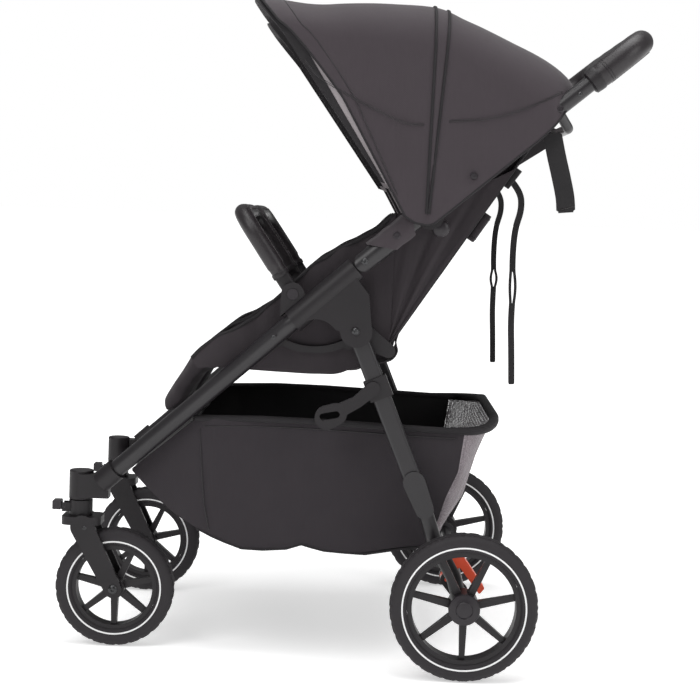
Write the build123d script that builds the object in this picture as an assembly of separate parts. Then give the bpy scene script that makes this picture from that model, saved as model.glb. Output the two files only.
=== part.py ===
from build123d import *
from math import cos, sin, radians, degrees, atan2, hypot
import os

# Side-by-side twin stroller. Millimetres, +Z up, -X is the way it is pushed,
# -Y is the left side. Shapes are drawn with x = 0 at the rear axle and z = 0
# on the ground, and moved by ORIGIN_X so that the origin is under the middle.
ORIGIN_X = 197.5

# Wheels
REAR_R, REAR_W, REAR_Y = 115.0, 42.0, 350.0
REAR_BEAD_R, REAR_OPEN_R, REAR_HUB_R = 88.0, 80.5, 24.0
FRONT_R, FRONT_W, FRONT_Y = 96.5, 36.0, 209.0
FRONT_BEAD_R, FRONT_OPEN_R, FRONT_HUB_R = 69.0, 62.0, 17.0
FRONT_AXLE_X = -560.0
SPOKES = 7
AXLE_R = 6.0
FIT = 0.05            # running clearance on radius
GAP = 0.3             # seating clearance

# Frame
FRAME_Y = 305.0       # plane of the side tubes
FOLD_X, FOLD_Z = -172.0, 642.0      # handle fold pivot
LEG_ANGLE = 42.1      # front leg below horizontal
LEG_R, HANDLE_R = 14.0, 12.75
LEG_KNEE_S = 152.0    # along the leg, where it starts to run inwards
LEG_END_S = 542.0
LEG_END_Y = 235.0
LEG_BEND, LEG_WALL = 60.0, 2.0
HANDLE_ANGLE = 40.3
HANDLE_LEN = 548.0
GRIP_R, GRIP_START, GRIP_CORNER = 19.5, 452.0, 52.0
PIN_R = 5.0
CASTOR_X, CASTOR_STEM_R, CASTOR_R = -619.0, 8.0, 19.5
CASTOR_LOW, CASTOR_TOP = 238.0, 286.0

# Rear leg
REAR_PIVOT_X, REAR_PIVOT_Z = -181.0, 533.0
REAR_KNEE_X, REAR_KNEE_Z = -74.0, 280.0
REAR_LEG_W, REAR_LEG_T = 29.0, 16.0
STRUT_R = 12.0

# Seats
SEAT_IN, SEAT_OUT = 46.0, 272.5
WING_T = 4.0
BACK_X, BACK_Z = -130.0, 503.0      # recline pivot
BACK_ANGLE, BACK_LEN, BACK_T = 56.7, 402.0, 38.0
ROD_R = 6.0
CALF_X, CALF_Z = -410.0, 472.0
CALF_OUT = 226.0

# Bumper bars
BAR_X, BAR_Z, BAR_R = -282.0, 587.0, 13.5
BAR_OUT_Y, BAR_IN_Y = 288.0, 30.0
BAR_ANGLE, BAR_LEN, BAR_CORNER = 124.5, 146.0, 48.0

# Canopies
HUB_X, HUB_Z = -74.0, 716.0
CANOPY_OUT, CANOPY_IN, CANOPY_T, CANOPY_CORNER = 327.0, 8.0, 3.0, 68.0
HUB_R = 21.5
NEST = 4.5            # the rear panel sits this far inside the front one
REAR_FAN = [(46, 303), (66, 291), (87, 313)]
FRONT_FAN = [(89.5, 321), (101, 330), (113.5, 351), (122, 378), (131, 434)]

os.makedirs("parts", exist_ok=True)


def save(name, *shapes):
    """Write one node in the row frame."""
    moved = [Pos(ORIGIN_X, 0, 0) * s for s in shapes]
    solids = [s for m in moved for s in m.solids()]
    export_step(solids[0] if len(solids) == 1 else Compound(children=solids), f"parts/{name}.step")
    print(name, len(solids), round(sum(s.volume for s in solids) / 1000, 1), "cm3")


def save_pair(name, *shapes):
    """The left piece as drawn, and its mirror image on the right."""
    save(f"{name}_left", *shapes)
    save(f"{name}_right", *[mirror(s, about=Plane.XZ) for s in shapes])


def slab(sketch, y_a, y_b):
    """Extrude an x-z outline between two lateral planes."""
    low, high = min(y_a, y_b), max(y_a, y_b)
    return extrude(Plane.XZ.offset(-high) * sketch, high - low, dir=(0, -1, 0))


def outline(*points):
    return make_face(Polyline(*points, close=True))


def disc(x, z, r, y_a, y_b):
    return slab(Pos(x, z) * Circle(r), y_a, y_b)


def bar_between(x0, z0, r0, x1, z1, r1, y_a, y_b):
    """A plate hulled round two circles."""
    ends = Pos(x0, z0) * Circle(r0) + Pos(x1, z1) * Circle(r1)
    return slab(make_hull(ends.edges()), y_a, y_b)


def tube(points, r, bend=0.0, wall=0.0):
    """A round tube along straight runs joined by arcs."""
    path = Line(*points) if len(points) == 2 else FilletPolyline(*points, radius=bend)
    section = Circle(r) - Circle(r - wall) if wall else Circle(r)
    return sweep(Plane(origin=path @ 0, z_dir=path % 0) * section, path=path)


def polar(x, z, angle, s, off=0.0):
    """Point at distance s along an angle in the x-z plane, and off to its left."""
    a = radians(angle)
    return x + s * cos(a) - off * sin(a), z + s * sin(a) + off * cos(a)


def at_y(point, y):
    return (point[0], y, point[1])


def on_handle(s, off=0.0):
    return polar(FOLD_X, FOLD_Z, HANDLE_ANGLE, s, off)


def on_leg(s, off=0.0):
    return polar(FOLD_X, FOLD_Z, 180 + LEG_ANGLE, s, off)


def on_back(s, off=0.0):
    return polar(BACK_X, BACK_Z, BACK_ANGLE, s, off)


# ---------------------------------------------------------------- wheels
def tyre(radius, width, bead):
    section = Pos((radius + bead) / 2, 0) * RectangleRounded(radius - bead, width, 11)
    return revolve(Plane.XY * section, Axis.Y)


def rim(open_r, bead, width, hub_r, hub_low, hub_high, cap):
    """Ring, hub and tapered spokes. The hub runs between two lateral planes."""
    ring = disc(0, 0, bead - GAP, -width / 2, width / 2) - disc(0, 0, open_r, -width, width)
    hub = disc(0, 0, hub_r, hub_low, hub_high)
    arm = outline((-6, hub_r - 4), (6, hub_r - 4), (4.2, open_r + 2), (-4.2, open_r + 2))
    body = ring + hub
    for i in range(SPOKES):
        spoke = slab(arm, -7, 7)
        body += Rot(0, 180 + i * 360 / SPOKES, 0) * spoke
    bore_low = hub_low + cap
    return body - disc(0, 0, AXLE_R + FIT, bore_low, hub_high + 1)


def rear_wheels():
    at = Pos(0, -REAR_Y, REAR_R)
    save_pair("rear_tyre", at * tyre(REAR_R, REAR_W, REAR_BEAD_R))
    wheel = rim(REAR_OPEN_R, REAR_BEAD_R, 30, REAR_HUB_R, -22, 27, 7)
    save_pair("rear_rim", at * wheel)


def front_wheels():
    at = Pos(FRONT_AXLE_X, -FRONT_Y, FRONT_R)
    save_pair("front_tyre", at * tyre(FRONT_R, FRONT_W, FRONT_BEAD_R))
    wheel = rim(FRONT_OPEN_R, FRONT_BEAD_R, 26, FRONT_HUB_R, -19, 19, -1)
    save_pair("front_rim", at * wheel)


# ---------------------------------------------------------------- castors
FORK_IN, FORK_T = 21.5, 8.0
CROWN_LOW, CROWN_TOP = 199.0, 212.0
LOCK_X, LOCK_Z = -645.0, 225.0


def castor_fork():
    """Crown, two blades and the axle they hold."""
    crown = Pos(-615, 0, (CROWN_LOW + CROWN_TOP) / 2) * Box(64, 2 * (FORK_IN + FORK_T), CROWN_TOP - CROWN_LOW)
    crown = fillet(crown.edges().filter_by(Axis.Z), 14)
    swivel = Pos(CASTOR_X, 0, (CROWN_TOP + CASTOR_LOW - 1) / 2) * Cylinder(19, CASTOR_LOW - 1 - CROWN_TOP)
    ears = Pos(-640, 0, LOCK_Z) * Box(16, 22, 14) - Pos(-646, 0, LOCK_Z) * Box(18, 14.6, 30)
    stem = Pos(CASTOR_X, 0, 255) * Cylinder(CASTOR_STEM_R, 40)
    body = crown + swivel + ears + stem
    for side in (-1, 1):
        y_a, y_b = side * FORK_IN, side * (FORK_IN + FORK_T)
        blade = bar_between(-612, 196, 19, FRONT_AXLE_X, FRONT_R, 14, y_a, y_b)
        body += blade
    body += disc(FRONT_AXLE_X, FRONT_R, AXLE_R, -FORK_IN - 2, FORK_IN + 2)
    return body - disc(LOCK_X, LOCK_Z, 2.0 + FIT, -12, 12)


def castor_housing():
    """Vertical bearing housing with the socket that the leg ends in."""
    y = -FRONT_Y
    height = CASTOR_TOP - CASTOR_LOW
    barrel = Pos(CASTOR_X, y, (CASTOR_LOW + CASTOR_TOP) / 2) * Cylinder(CASTOR_R, height)
    barrel = fillet(barrel.edges().filter_by(GeomType.CIRCLE), 2.5)
    end_x, end_z = on_leg(LEG_END_S)
    web = Pos((CASTOR_X + end_x) / 2, y - 10, 262) * Box(50, 26, 38)
    ax, az = on_leg(LEG_END_S - 22)
    low_x, low_z = on_leg(LEG_END_S + 12)
    lean = (FRAME_Y - LEG_END_Y) / (LEG_END_S - LEG_KNEE_S)
    socket = tube([(ax, -LEG_END_Y - 22 * lean, az), (low_x, -LEG_END_Y + 12 * lean, low_z)], LEG_R + 4)
    body = barrel + web + socket
    leg_hole = tube([at_y(on_leg(200), -FRAME_Y + 48 * lean),
                     (end_x, -LEG_END_Y, end_z)], LEG_R + GAP)
    stem_hole = Pos(CASTOR_X, y, CASTOR_LOW + 19.5) * Cylinder(CASTOR_STEM_R + FIT, 41)
    cross_hole = disc(*CROSS_FRONT, CROSS_R + GAP, -FRONT_Y, -100)
    return body - leg_hole - stem_hole - cross_hole


CROSS_FRONT = (-596.0, 258.0)
CROSS_R = 9.0


def castors():
    at = Pos(0, -FRONT_Y, 0)
    save_pair("castor_fork", at * castor_fork())
    save_pair("castor_housing", castor_housing())
    paddle = Pos(-657, 0, LOCK_Z + 3) * Box(14, 20, 15) + Pos(-648, 0, LOCK_Z) * Box(12, 14, 9)
    paddle = fillet(paddle.edges().filter_by(Axis.Y), 2)
    paddle += disc(LOCK_X, LOCK_Z, 2.0, -10.5, 10.5)
    save_pair("swivel_lock", at * paddle)


# ---------------------------------------------------------------- main frame
LOBE_R = 25.0
PLATE_OUT, PLATE_IN, PLATE_T = 314.5, 295.5, 6.0
NECK_T, NECK_END = 10.0, 17.5
LINK_X, LINK_Z = -305.0, 509.0


def front_leg(grow=0.0):
    """The leg tube, or the solid space that clears it."""
    top_x, top_z = on_leg(NECK_END + 3.5 + GAP)
    knee_x, knee_z = on_leg(LEG_KNEE_S)
    end_x, end_z = on_leg(LEG_END_S)
    points = [(top_x, -FRAME_Y, top_z), (knee_x, -FRAME_Y, knee_z), (end_x, -LEG_END_Y, end_z)]
    return tube(points, LEG_R + grow, LEG_BEND, 0.0 if grow else LEG_WALL)


def hinge_casing():
    """Sleeve on the leg, two cheeks down to the rear leg pivot, and the fold tongue."""
    ax, az = on_leg(NECK_END)
    bx, bz = on_leg(LEG_KNEE_S - 6)
    sleeve = tube([(ax, -FRAME_Y, az), (bx, -FRAME_Y, bz)], LEG_R + 5)
    cheek = outline(on_leg(136, 4), on_leg(24, -8), (-163, 590), (-157, 533), (-206, 533))
    cheek += Pos(REAR_PIVOT_X, REAR_PIVOT_Z) * Circle(LOBE_R)
    cheek -= Pos(-243, 514) * Circle(36)
    inner = cheek + make_hull((Pos(REAR_PIVOT_X, REAR_PIVOT_Z) * Circle(20)
                               + Pos(BACK_X, BACK_Z) * Circle(11)).edges())
    body = sleeve + slab(cheek, -PLATE_OUT, -PLATE_OUT - PLATE_T) + slab(inner, -PLATE_IN, -PLATE_IN + PLATE_T)
    web = outline(on_leg(136, 4), on_leg(24, -8), (-165, 588), (-196, 572), (-240, 556))
    web -= Pos(-243, 514) * Circle(38)
    web -= Pos(REAR_PIVOT_X, REAR_PIVOT_Z) * Circle(REAR_LEG_W / 2 + 8)
    body += slab(web, -PLATE_IN, -PLATE_OUT)
    body -= tube([at_y(on_leg(NECK_END + 3.5), -FRAME_Y), at_y(on_leg(LEG_KNEE_S), -FRAME_Y)], LEG_R + GAP)
    neck = make_hull((Pos(FOLD_X, FOLD_Z) * Circle(13) + Pos(*on_leg(NECK_END - 6)) * Circle(11)).edges())
    neck -= outline(on_leg(NECK_END + 2, -20), on_leg(NECK_END + 2, 20), on_leg(60, 20), on_leg(60, -20))
    body += slab(neck, -FRAME_Y - NECK_T / 2, -FRAME_Y + NECK_T / 2)
    for x, z in ((REAR_PIVOT_X, REAR_PIVOT_Z), (FOLD_X, FOLD_Z)):
        body -= disc(x, z, PIN_R + GAP, -FRAME_Y - 30, -FRAME_Y + 30)
    return body


def pivot_pins():
    """Pins at the handle fold, the rear leg and the link, both sides, and the centre bar pin."""
    pins = [disc(FOLD_X, FOLD_Z, PIN_R, -FRAME_Y - 17, -FRAME_Y + 16),
            disc(REAR_PIVOT_X, REAR_PIVOT_Z, PIN_R, -FRAME_Y - 17, -FRAME_Y + 16),
            disc(LINK_X, LINK_Z, 3.0, -274.0, -285.6)]
    pins += [mirror(p, about=Plane.XZ) for p in pins]
    return pins + [disc(BAR_X, BAR_Z, PIN_R, -29, 29)]


CROSS_SEAT = (-375.0, 455.0)


def cross_tubes():
    """Front tube between the castor housings, seat front tube, and the recline rod."""
    seat_half = 262.0
    return [disc(*CROSS_FRONT, CROSS_R, -FRONT_Y + GAP, FRONT_Y - GAP),
            disc(*CROSS_SEAT, 10, -seat_half, seat_half),
            disc(BACK_X, BACK_Z, ROD_R, -PLATE_IN + PLATE_T + GAP, PLATE_IN - PLATE_T - GAP)]


def centre_spine():
    """Upright plate between the seats that carries the inner ends of the bars."""
    plate = outline((-398, 440), (-120, 484), (-112, 514), (-150, 526), (-262, 560),
                    (-264, 598), (-300, 598), (-306, 560), (-398, 478))
    plate += Pos(BAR_X, BAR_Z) * Circle(19)
    body = slab(plate, -12.5, 12.5)
    body -= disc(*CROSS_SEAT, 10 + GAP, -20, 20)
    body -= disc(BACK_X, BACK_Z, ROD_R + GAP, -20, 20)
    return body - disc(BAR_X, BAR_Z, PIN_R + GAP, -20, 20)


BUTTON_R = 8.8


def bumper_mount():
    """Outer plate on the casing with a stub for the bar and a pocket for the button."""
    plate = make_hull((Pos(BAR_X, BAR_Z) * Circle(18) + Pos(*on_leg(118, -17)) * Circle(12)
                       + Pos(*on_leg(148, -16)) * Circle(8)).edges())
    body = slab(plate, -296.5, -306)
    body -= tube([at_y(on_leg(60), -FRAME_Y),
                  at_y(on_leg(170), -FRAME_Y)], LEG_R + 5 + GAP)
    body -= disc(BAR_X, BAR_Z, BUTTON_R + GAP, -300.5, -320)
    return body + disc(BAR_X, BAR_Z, PIN_R, -281, -297)


def front_frame():
    save_pair("front_leg", front_leg())
    save_pair("hinge_casing", hinge_casing())
    save("pivot_pins", *pivot_pins())
    save("cross_tubes", *cross_tubes())
    save("centre_spine", centre_spine())
    save_pair("bumper_mount", bumper_mount())
    save_pair("bumper_button", disc(BAR_X, BAR_Z, BUTTON_R, -303, -307.5))
    link = Pos(-249, 610) * (Circle(116) - Circle(105))
    link &= outline((LINK_X - 2, 495), (-193, 495), (-193, 530), (LINK_X - 2, 530))
    link += Pos(LINK_X, LINK_Z) * Circle(8.5) + Pos(-193, 509) * Circle(7.5)
    link -= Pos(LINK_X, LINK_Z) * Circle(3.0 + FIT)
    save_pair("fold_link", slab(link, -274.5, -279.5))


# ---------------------------------------------------------------- rear frame
AXLE_TUBE_R = 9.0
KNUCKLE_R = 17.0
LATCH_EYE = (-218.0, 401.0)


def rear_leg():
    """Flat-oval upper tube of the rear leg."""
    blade = bar_between(REAR_PIVOT_X, REAR_PIVOT_Z, REAR_LEG_W / 2, REAR_KNEE_X, REAR_KNEE_Z, REAR_LEG_W / 2,
                        -FRAME_Y - REAR_LEG_T / 2, -FRAME_Y + REAR_LEG_T / 2)
    blade = fillet(blade.faces().sort_by(Axis.Y)[0].edges() + blade.faces().sort_by(Axis.Y)[-1].edges(), 5)
    return blade - disc(REAR_PIVOT_X, REAR_PIVOT_Z, PIN_R + FIT, -FRAME_Y - 20, -FRAME_Y + 20)


def rear_strut():
    """Round lower tube with its top bracket and the hub knuckle."""
    y = -FRAME_Y
    path = [(-66, y, 262), (-46, y, 205), (-14, y, 150), (-4, y, REAR_R)]
    body = tube(path, STRUT_R, 60)
    angle = degrees(atan2(REAR_PIVOT_Z - REAR_KNEE_Z, REAR_PIVOT_X - REAR_KNEE_X))
    top = polar(REAR_KNEE_X, REAR_KNEE_Z, angle, 22)
    low = polar(REAR_KNEE_X, REAR_KNEE_Z, angle, -24)
    body += bar_between(*top, REAR_LEG_W / 2 + 3, *low, REAR_LEG_W / 2, y - 12, y + 12)
    body += disc(0, REAR_R, KNUCKLE_R, y - 13, y + 14)
    socket_top = polar(REAR_KNEE_X, REAR_KNEE_Z, angle, 90)
    body -= bar_between(*socket_top, REAR_LEG_W / 2 + GAP, REAR_KNEE_X, REAR_KNEE_Z, REAR_LEG_W / 2 + GAP,
                        y - REAR_LEG_T / 2 - GAP, y + REAR_LEG_T / 2 + GAP)
    return body - disc(0, REAR_R, AXLE_R + GAP, y - 30, y + 30)


PEDAL_X, PEDAL_Z, PEDAL_Y = -24.0, 140.0, 250.0


def rear_axle():
    """Cross tube, the stubs the wheels turn on, and the brake pedal bracket."""
    half = FRAME_Y - 14 - GAP
    body = disc(0, REAR_R, AXLE_TUBE_R, -half, half) + disc(0, REAR_R, AXLE_R, -364, 364)
    bracket = make_hull((Pos(0, REAR_R) * Circle(13) + Pos(PEDAL_X, PEDAL_Z) * Circle(10)).edges())
    for side in (-1, 1):
        body += slab(bracket, -PEDAL_Y + side * 15, -PEDAL_Y + side * 21)
    return body - disc(PEDAL_X, PEDAL_Z, 3.0 + GAP, -PEDAL_Y - 30, -PEDAL_Y + 30)


def brake_pedal():
    shape = outline((-28, 152), (-12, 180), (-2, 182), (38, 126), (30, 116), (-4, 160), (-14, 138))
    body = slab(shape, -PEDAL_Y - 13, -PEDAL_Y + 13)
    body = fillet(body.edges().filter_by(Axis.Y), 2.5)
    body += disc(PEDAL_X, PEDAL_Z, 9, -PEDAL_Y - 13, -PEDAL_Y + 13)
    return body + disc(PEDAL_X, PEDAL_Z, 3.0, -PEDAL_Y - 21, -PEDAL_Y + 21)


def storage_latch():
    """Collar round the left rear leg with the forward arm and slotted eye."""
    angle = degrees(atan2(REAR_KNEE_Z - REAR_PIVOT_Z, REAR_KNEE_X - REAR_PIVOT_X))
    top = polar(REAR_PIVOT_X, REAR_PIVOT_Z, angle, 78)
    low = polar(REAR_PIVOT_X, REAR_PIVOT_Z, angle, 112)
    mid = polar(REAR_PIVOT_X, REAR_PIVOT_Z, angle, 95)
    depth = REAR_LEG_T / 2
    frame = Rot(0, -angle, 0) * Box(34, 2 * depth + 8, REAR_LEG_W + 8)
    body = Pos(mid[0], -FRAME_Y, mid[1]) * frame
    arm = make_hull((Pos(mid[0] - 8, mid[1]) * Circle(11) + Pos(-176, 424) * Circle(9.5)).edges())
    arm += make_hull((Pos(-176, 424) * Circle(9.5) + Pos(*LATCH_EYE) * Circle(12)).edges())
    arm += make_hull((Pos(LATCH_EYE[0] - 4, LATCH_EYE[1] - 3) * Circle(19)
                      + Pos(LATCH_EYE[0] + 10, LATCH_EYE[1] + 3) * Circle(17)).edges())
    slot = Pos(*LATCH_EYE) * Rot(0, 0, 12) * SlotOverall(32, 11)
    body += slab(arm - slot, -FRAME_Y - depth - 0.5, -FRAME_Y - depth - 8.5)
    hole = bar_between(*polar(*top, angle, -40), REAR_LEG_W / 2 + GAP, *polar(*low, angle, 40),
                       REAR_LEG_W / 2 + GAP, -FRAME_Y - depth - GAP, -FRAME_Y + depth + GAP)
    return body - hole


def rear_frame():
    save_pair("rear_leg", rear_leg())
    save_pair("rear_strut", rear_strut())
    save("rear_axle", rear_axle())
    save("brake_pedal", brake_pedal())
    save("storage_latch", storage_latch())


# ---------------------------------------------------------------- handle
COLLAR_R, COLLAR_LEN = 16.0, 66.0
CROSS_S, CROSS_DROP = 380.0, 36.0


def handle_tube():
    return tube([at_y(on_handle(20), -FRAME_Y), at_y(on_handle(GRIP_START + 30), -FRAME_Y)], HANDLE_R, 0, 1.8)


def handle_collar():
    """Sleeve at the foot of the handle tube, forked over the casing tongue."""
    body = tube([at_y(on_handle(0), -FRAME_Y), at_y(on_handle(COLLAR_LEN), -FRAME_Y)], COLLAR_R)
    foot = tube([at_y(on_handle(-COLLAR_R - 2), -FRAME_Y), at_y(on_handle(4), -FRAME_Y)], COLLAR_R)
    body += foot & disc(FOLD_X, FOLD_Z, COLLAR_R - GAP, -FRAME_Y - 20, -FRAME_Y + 20)
    body -= tube([at_y(on_handle(19), -FRAME_Y), at_y(on_handle(90), -FRAME_Y)], HANDLE_R + GAP)
    slot = outline(on_handle(-30, 30), on_handle(-30, -30), on_handle(15, -30), on_handle(15, 30))
    body -= slab(slot, -FRAME_Y - NECK_T / 2 - 0.6, -FRAME_Y + NECK_T / 2 + 0.6)
    return body - disc(FOLD_X, FOLD_Z, PIN_R + FIT, -FRAME_Y - 30, -FRAME_Y + 30)


def handle_grip():
    """Foam-covered hoop across the top of the handle."""
    y = FRAME_Y
    points = [at_y(on_handle(GRIP_START), -y), at_y(on_handle(HANDLE_LEN), -y),
              at_y(on_handle(HANDLE_LEN), y), at_y(on_handle(GRIP_START), y)]
    body = tube(points, GRIP_R, GRIP_CORNER)
    for side in (-y, y):
        body -= tube([at_y(on_handle(GRIP_START - 5), side), at_y(on_handle(GRIP_START + 31), side)], HANDLE_R + GAP)
    return body


def handle_cross_tube():
    inner = FRAME_Y - HANDLE_R - GAP
    end = on_handle(CROSS_S)
    low = on_handle(CROSS_S, -CROSS_DROP)
    half = [at_y(end, -inner), at_y(end, -inner + 14), at_y(low, -inner + 52)]
    return tube(half + [(x, -y, z) for x, y, z in reversed(half)], 8, 18)


def canopy_mounts():
    """Centre arm from the cross tube to the hub line, and the two outer hub discs."""
    low = on_handle(CROSS_S, -CROSS_DROP)
    arm = bar_between(*low, 13, HUB_X, HUB_Z, 12, -5, 5) - disc(*low, 8 + GAP, -10, 10)
    arm += disc(HUB_X, HUB_Z, HUB_R, -CANOPY_IN - NEST - CANOPY_T, CANOPY_IN + NEST + CANOPY_T)
    outer = disc(HUB_X, HUB_Z, HUB_R, -FRAME_Y - HANDLE_R - 1, -CANOPY_OUT)
    grip = Pos(HUB_X, HUB_Z) * Circle(13) + Pos(*on_handle(122, -15)) * Circle(9)
    outer += slab(make_hull(grip.edges()), -FRAME_Y - 8, -FRAME_Y - HANDLE_R - 1)
    outer -= tube([at_y(on_handle(60), -FRAME_Y), at_y(on_handle(190), -FRAME_Y)], HANDLE_R + GAP)
    return [arm, outer, mirror(outer, about=Plane.XZ)]


def fan_section(angle, radius, out_y, in_y, low):
    """U-shaped band in the plane through the hub line at one angle."""
    def shell(grow):
        lo, hi, top = -out_y + grow, -in_y - grow, radius - grow
        c = CANOPY_CORNER - grow
        return [(lo, low), (lo, top - c), (lo + c, top), (hi - c, top), (hi, top - c), (hi, low)], c

    def side(points, c):
        a, b, d, e, f, g = points
        k = c * (1 - sin(radians(45)))
        return [a, b, (a[0] + k, b[1] + c - k), d, e, (g[0] - k, b[1] + c - k), f, g]

    outer = side(*shell(0.0))
    inner = side(*shell(CANOPY_T))
    edges = [Line(outer[0], outer[1]), ThreePointArc(outer[1], outer[2], outer[3]), Line(outer[3], outer[4]),
             ThreePointArc(outer[4], outer[5], outer[6]), Line(outer[6], outer[7]), Line(outer[7], inner[7]),
             Line(inner[7], inner[6]), ThreePointArc(inner[6], inner[5], inner[4]), Line(inner[4], inner[3]),
             ThreePointArc(inner[3], inner[2], inner[1]), Line(inner[1], inner[0]), Line(inner[0], outer[0])]
    a = radians(angle)
    plane = Plane(origin=(HUB_X, 0, HUB_Z), x_dir=(0, 1, 0), z_dir=(sin(a), 0, -cos(a)))
    return plane * make_face(edges)


def canopy_panel(stations, out_y, in_y):
    return loft([fan_section(a, r, out_y, in_y, HUB_R + 2 * GAP) for a, r in stations])


def handle():
    save_pair("handle_tube", handle_tube())
    save_pair("handle_collar", handle_collar())
    save("handle_grip", handle_grip())
    save("handle_cross_tube", handle_cross_tube())
    save("canopy_mounts", *canopy_mounts())
    save_pair("canopy_rear", canopy_panel(REAR_FAN, CANOPY_OUT - NEST, CANOPY_IN + NEST))
    save_pair("canopy_front", canopy_panel(FRONT_FAN, CANOPY_OUT, CANOPY_IN))


# ---------------------------------------------------------------- seats
WING = [(-432, 482), (-405, 508), (-351, 541), (-303, 583), (-256, 631), (-162, 686), (-126, 717),
        (-96, 706), (-98, 600), (-112, 530), (-150, 526), (-168, 466), (-352, 466), (-396, 482)]


def seat():
    """Seat pad between two thin side wings."""
    pad = outline((-392, CROSS_SEAT[1] + 10 + GAP), (-392, 506), (-330, 503), (-168, 500), (-168, 464))
    body = slab(pad, -SEAT_IN, -SEAT_OUT)
    for y_a, y_b in ((-SEAT_OUT, -SEAT_OUT + WING_T), (-SEAT_IN - WING_T, -SEAT_IN)):
        body += slab(outline(*WING), y_a, y_b)
    return body - front_leg(1.5)


def seat_back():
    """Padded back on two lugs that turn on the recline rod."""
    pad = outline(on_back(52, 3), on_back(52, BACK_T), on_back(BACK_LEN - 24, BACK_T),
                  on_back(BACK_LEN, BACK_T - 14), on_back(BACK_LEN, 3))
    body = slab(pad, -SEAT_IN - 6, -SEAT_OUT + 6)
    body = fillet(body.edges().filter_by(Axis.Y), 5)
    lug = make_hull((Pos(BACK_X, BACK_Z) * Circle(11) + Pos(*on_back(66, 18)) * Circle(12)).edges())
    for y in (-SEAT_IN - 8, -SEAT_OUT + 18):
        body += slab(lug, y, y - 10)
    return body - disc(BACK_X, BACK_Z, ROD_R + FIT, -300, 0)


def calf_rest():
    """Padded flap hinged at the front edge of the seat."""
    pad = make_hull((Pos(CALF_X - 6, CALF_Z + 2) * Circle(13) + Pos(-482, 388) * Circle(9)).edges())
    return slab(pad, -SEAT_IN - WING_T - GAP, -CALF_OUT) - disc(CALF_X, CALF_Z, CALF_BUTTON_R + GAP, -CALF_OUT, -CALF_OUT + 6)


CALF_BUTTON_R = 8.0


def bumper_bar():
    """Foam-covered hoop with an eye at each end."""
    end = polar(BAR_X, BAR_Z, BAR_ANGLE, BAR_LEN)
    start = polar(BAR_X, BAR_Z, BAR_ANGLE, 10)
    points = [at_y(start, -BAR_OUT_Y), at_y(end, -BAR_OUT_Y), at_y(end, -BAR_IN_Y), at_y(start, -BAR_IN_Y)]
    body = tube(points, BAR_R, BAR_CORNER)
    body -= slab(Pos(BAR_X, BAR_Z) * Circle(19.5), -400, 0)
    for y_a, y_b in ((-280, -296), (-14, -34)):
        eye = make_hull((Pos(BAR_X, BAR_Z) * Circle(15) + Pos(*polar(BAR_X, BAR_Z, BAR_ANGLE, 24)) * Circle(11)).edges())
        body += slab(eye, y_a, y_b)
    return body - disc(BAR_X, BAR_Z, PIN_R + FIT, -310, 0)


def seats():
    save_pair("seat", seat())
    save_pair("seat_back", seat_back())
    save_pair("calf_rest", calf_rest())
    save_pair("calf_button", disc(CALF_X, CALF_Z, CALF_BUTTON_R, -CALF_OUT + 3, -CALF_OUT - 2.5))
    save_pair("bumper_bar", bumper_bar())


# ---------------------------------------------------------------- basket
BASKET_HALF = 268.0
BASKET = [(-430, 383), (-20, 378), (44, 388), (22, 330), (4, 262), (-46, 190), (-352, 177), (-424, 204), (-536, 290)]
BASKET_T = 3.0
RIM_R, CLIP_X = 4.5, -119.0


def basket():
    """Open tub with a slanted nose between the front legs."""
    outer = slab(outline(*BASKET), -BASKET_HALF, BASKET_HALF)
    inner_profile = offset(outline(*BASKET), -BASKET_T) + outline((-428, 378), (-20, 374), (38, 384), (38, 420), (-428, 420))
    inner = slab(inner_profile, -BASKET_HALF + BASKET_T, BASKET_HALF - BASKET_T)
    def plan(grow):
        half, nose = BASKET_HALF - grow, 214 - grow
        points = [(-560, -nose), (-400, -half), (60 - grow, -half), (60 - grow, half), (-400, half), (-560, nose)]
        return extrude(make_face(Polyline(*points, close=True)), 500, dir=(0, 0, 1))
    return (outer & plan(0)) - (inner & plan(BASKET_T))


def basket_rim():
    """Wire hoop round the mouth of the basket, held to the rear legs."""
    y = BASKET_HALF + RIM_R + GAP
    points = [(-420, -y, 384), (-20, -y, 380), (53, -y, 389), (53, y, 389), (-20, y, 380), (-420, y, 384)]
    body = tube(points, RIM_R, 9)
    for side in (-1, 1):
        body += disc(CLIP_X, 381, 4, side * y, side * (FRAME_Y - REAR_LEG_T / 2 - GAP))
    return body


# ---------------------------------------------------------------- straps
def hanging_strap():
    """Limp webbing from the back of the seat."""
    route = [(51.6, -210, 782), (72, -210, 762), (76, -210, 732), (66, -210, 700), (64, -210, 650),
             (67, -211, 600), (66, -209, 550), (69, -210, 500), (71, -210, 450)]
    return cord_tube(route, 3.5)


def cord_tube(route, r):
    """Round tube whose arcs are as large as the runs allow."""
    pts = [Vector(*p) for p in route]
    runs = [(b - a).length for a, b in zip(pts, pts[1:])]
    radii = []
    for i in range(1, len(pts) - 1):
        turn = (pts[i] - pts[i - 1]).get_angle(pts[i + 1] - pts[i])
        radii.append(0.45 * min(runs[i - 1], runs[i]) / abs(sin(radians(turn / 2)) / cos(radians(turn / 2))))
    path = FilletPolyline(*pts, radius=radii)
    print("strap radii", [round(v, 1) for v in radii], "length", round(path.length, 1))
    return sweep(Plane(origin=path @ 0, z_dir=path % 0) * Circle(r), path=path)


def tie_strap():
    """Wide woven strap hanging from the left handle tube."""
    shape = outline((96, 851.5), (124, 875.3), (132, 790), (147, 722), (124, 722), (108, 786))
    return slab(shape, -FRAME_Y - 1.5, -FRAME_Y + 1.5)


def soft_goods():
    save("basket", basket())
    save("basket_rim", basket_rim())
    save_pair("recline_strap", hanging_strap())
    save("tie_strap", tie_strap())


rear_wheels()
front_wheels()
castors()
front_frame()
rear_frame()
handle()
seats()
soft_goods()
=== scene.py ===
"""Looks of the twin stroller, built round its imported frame."""

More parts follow.
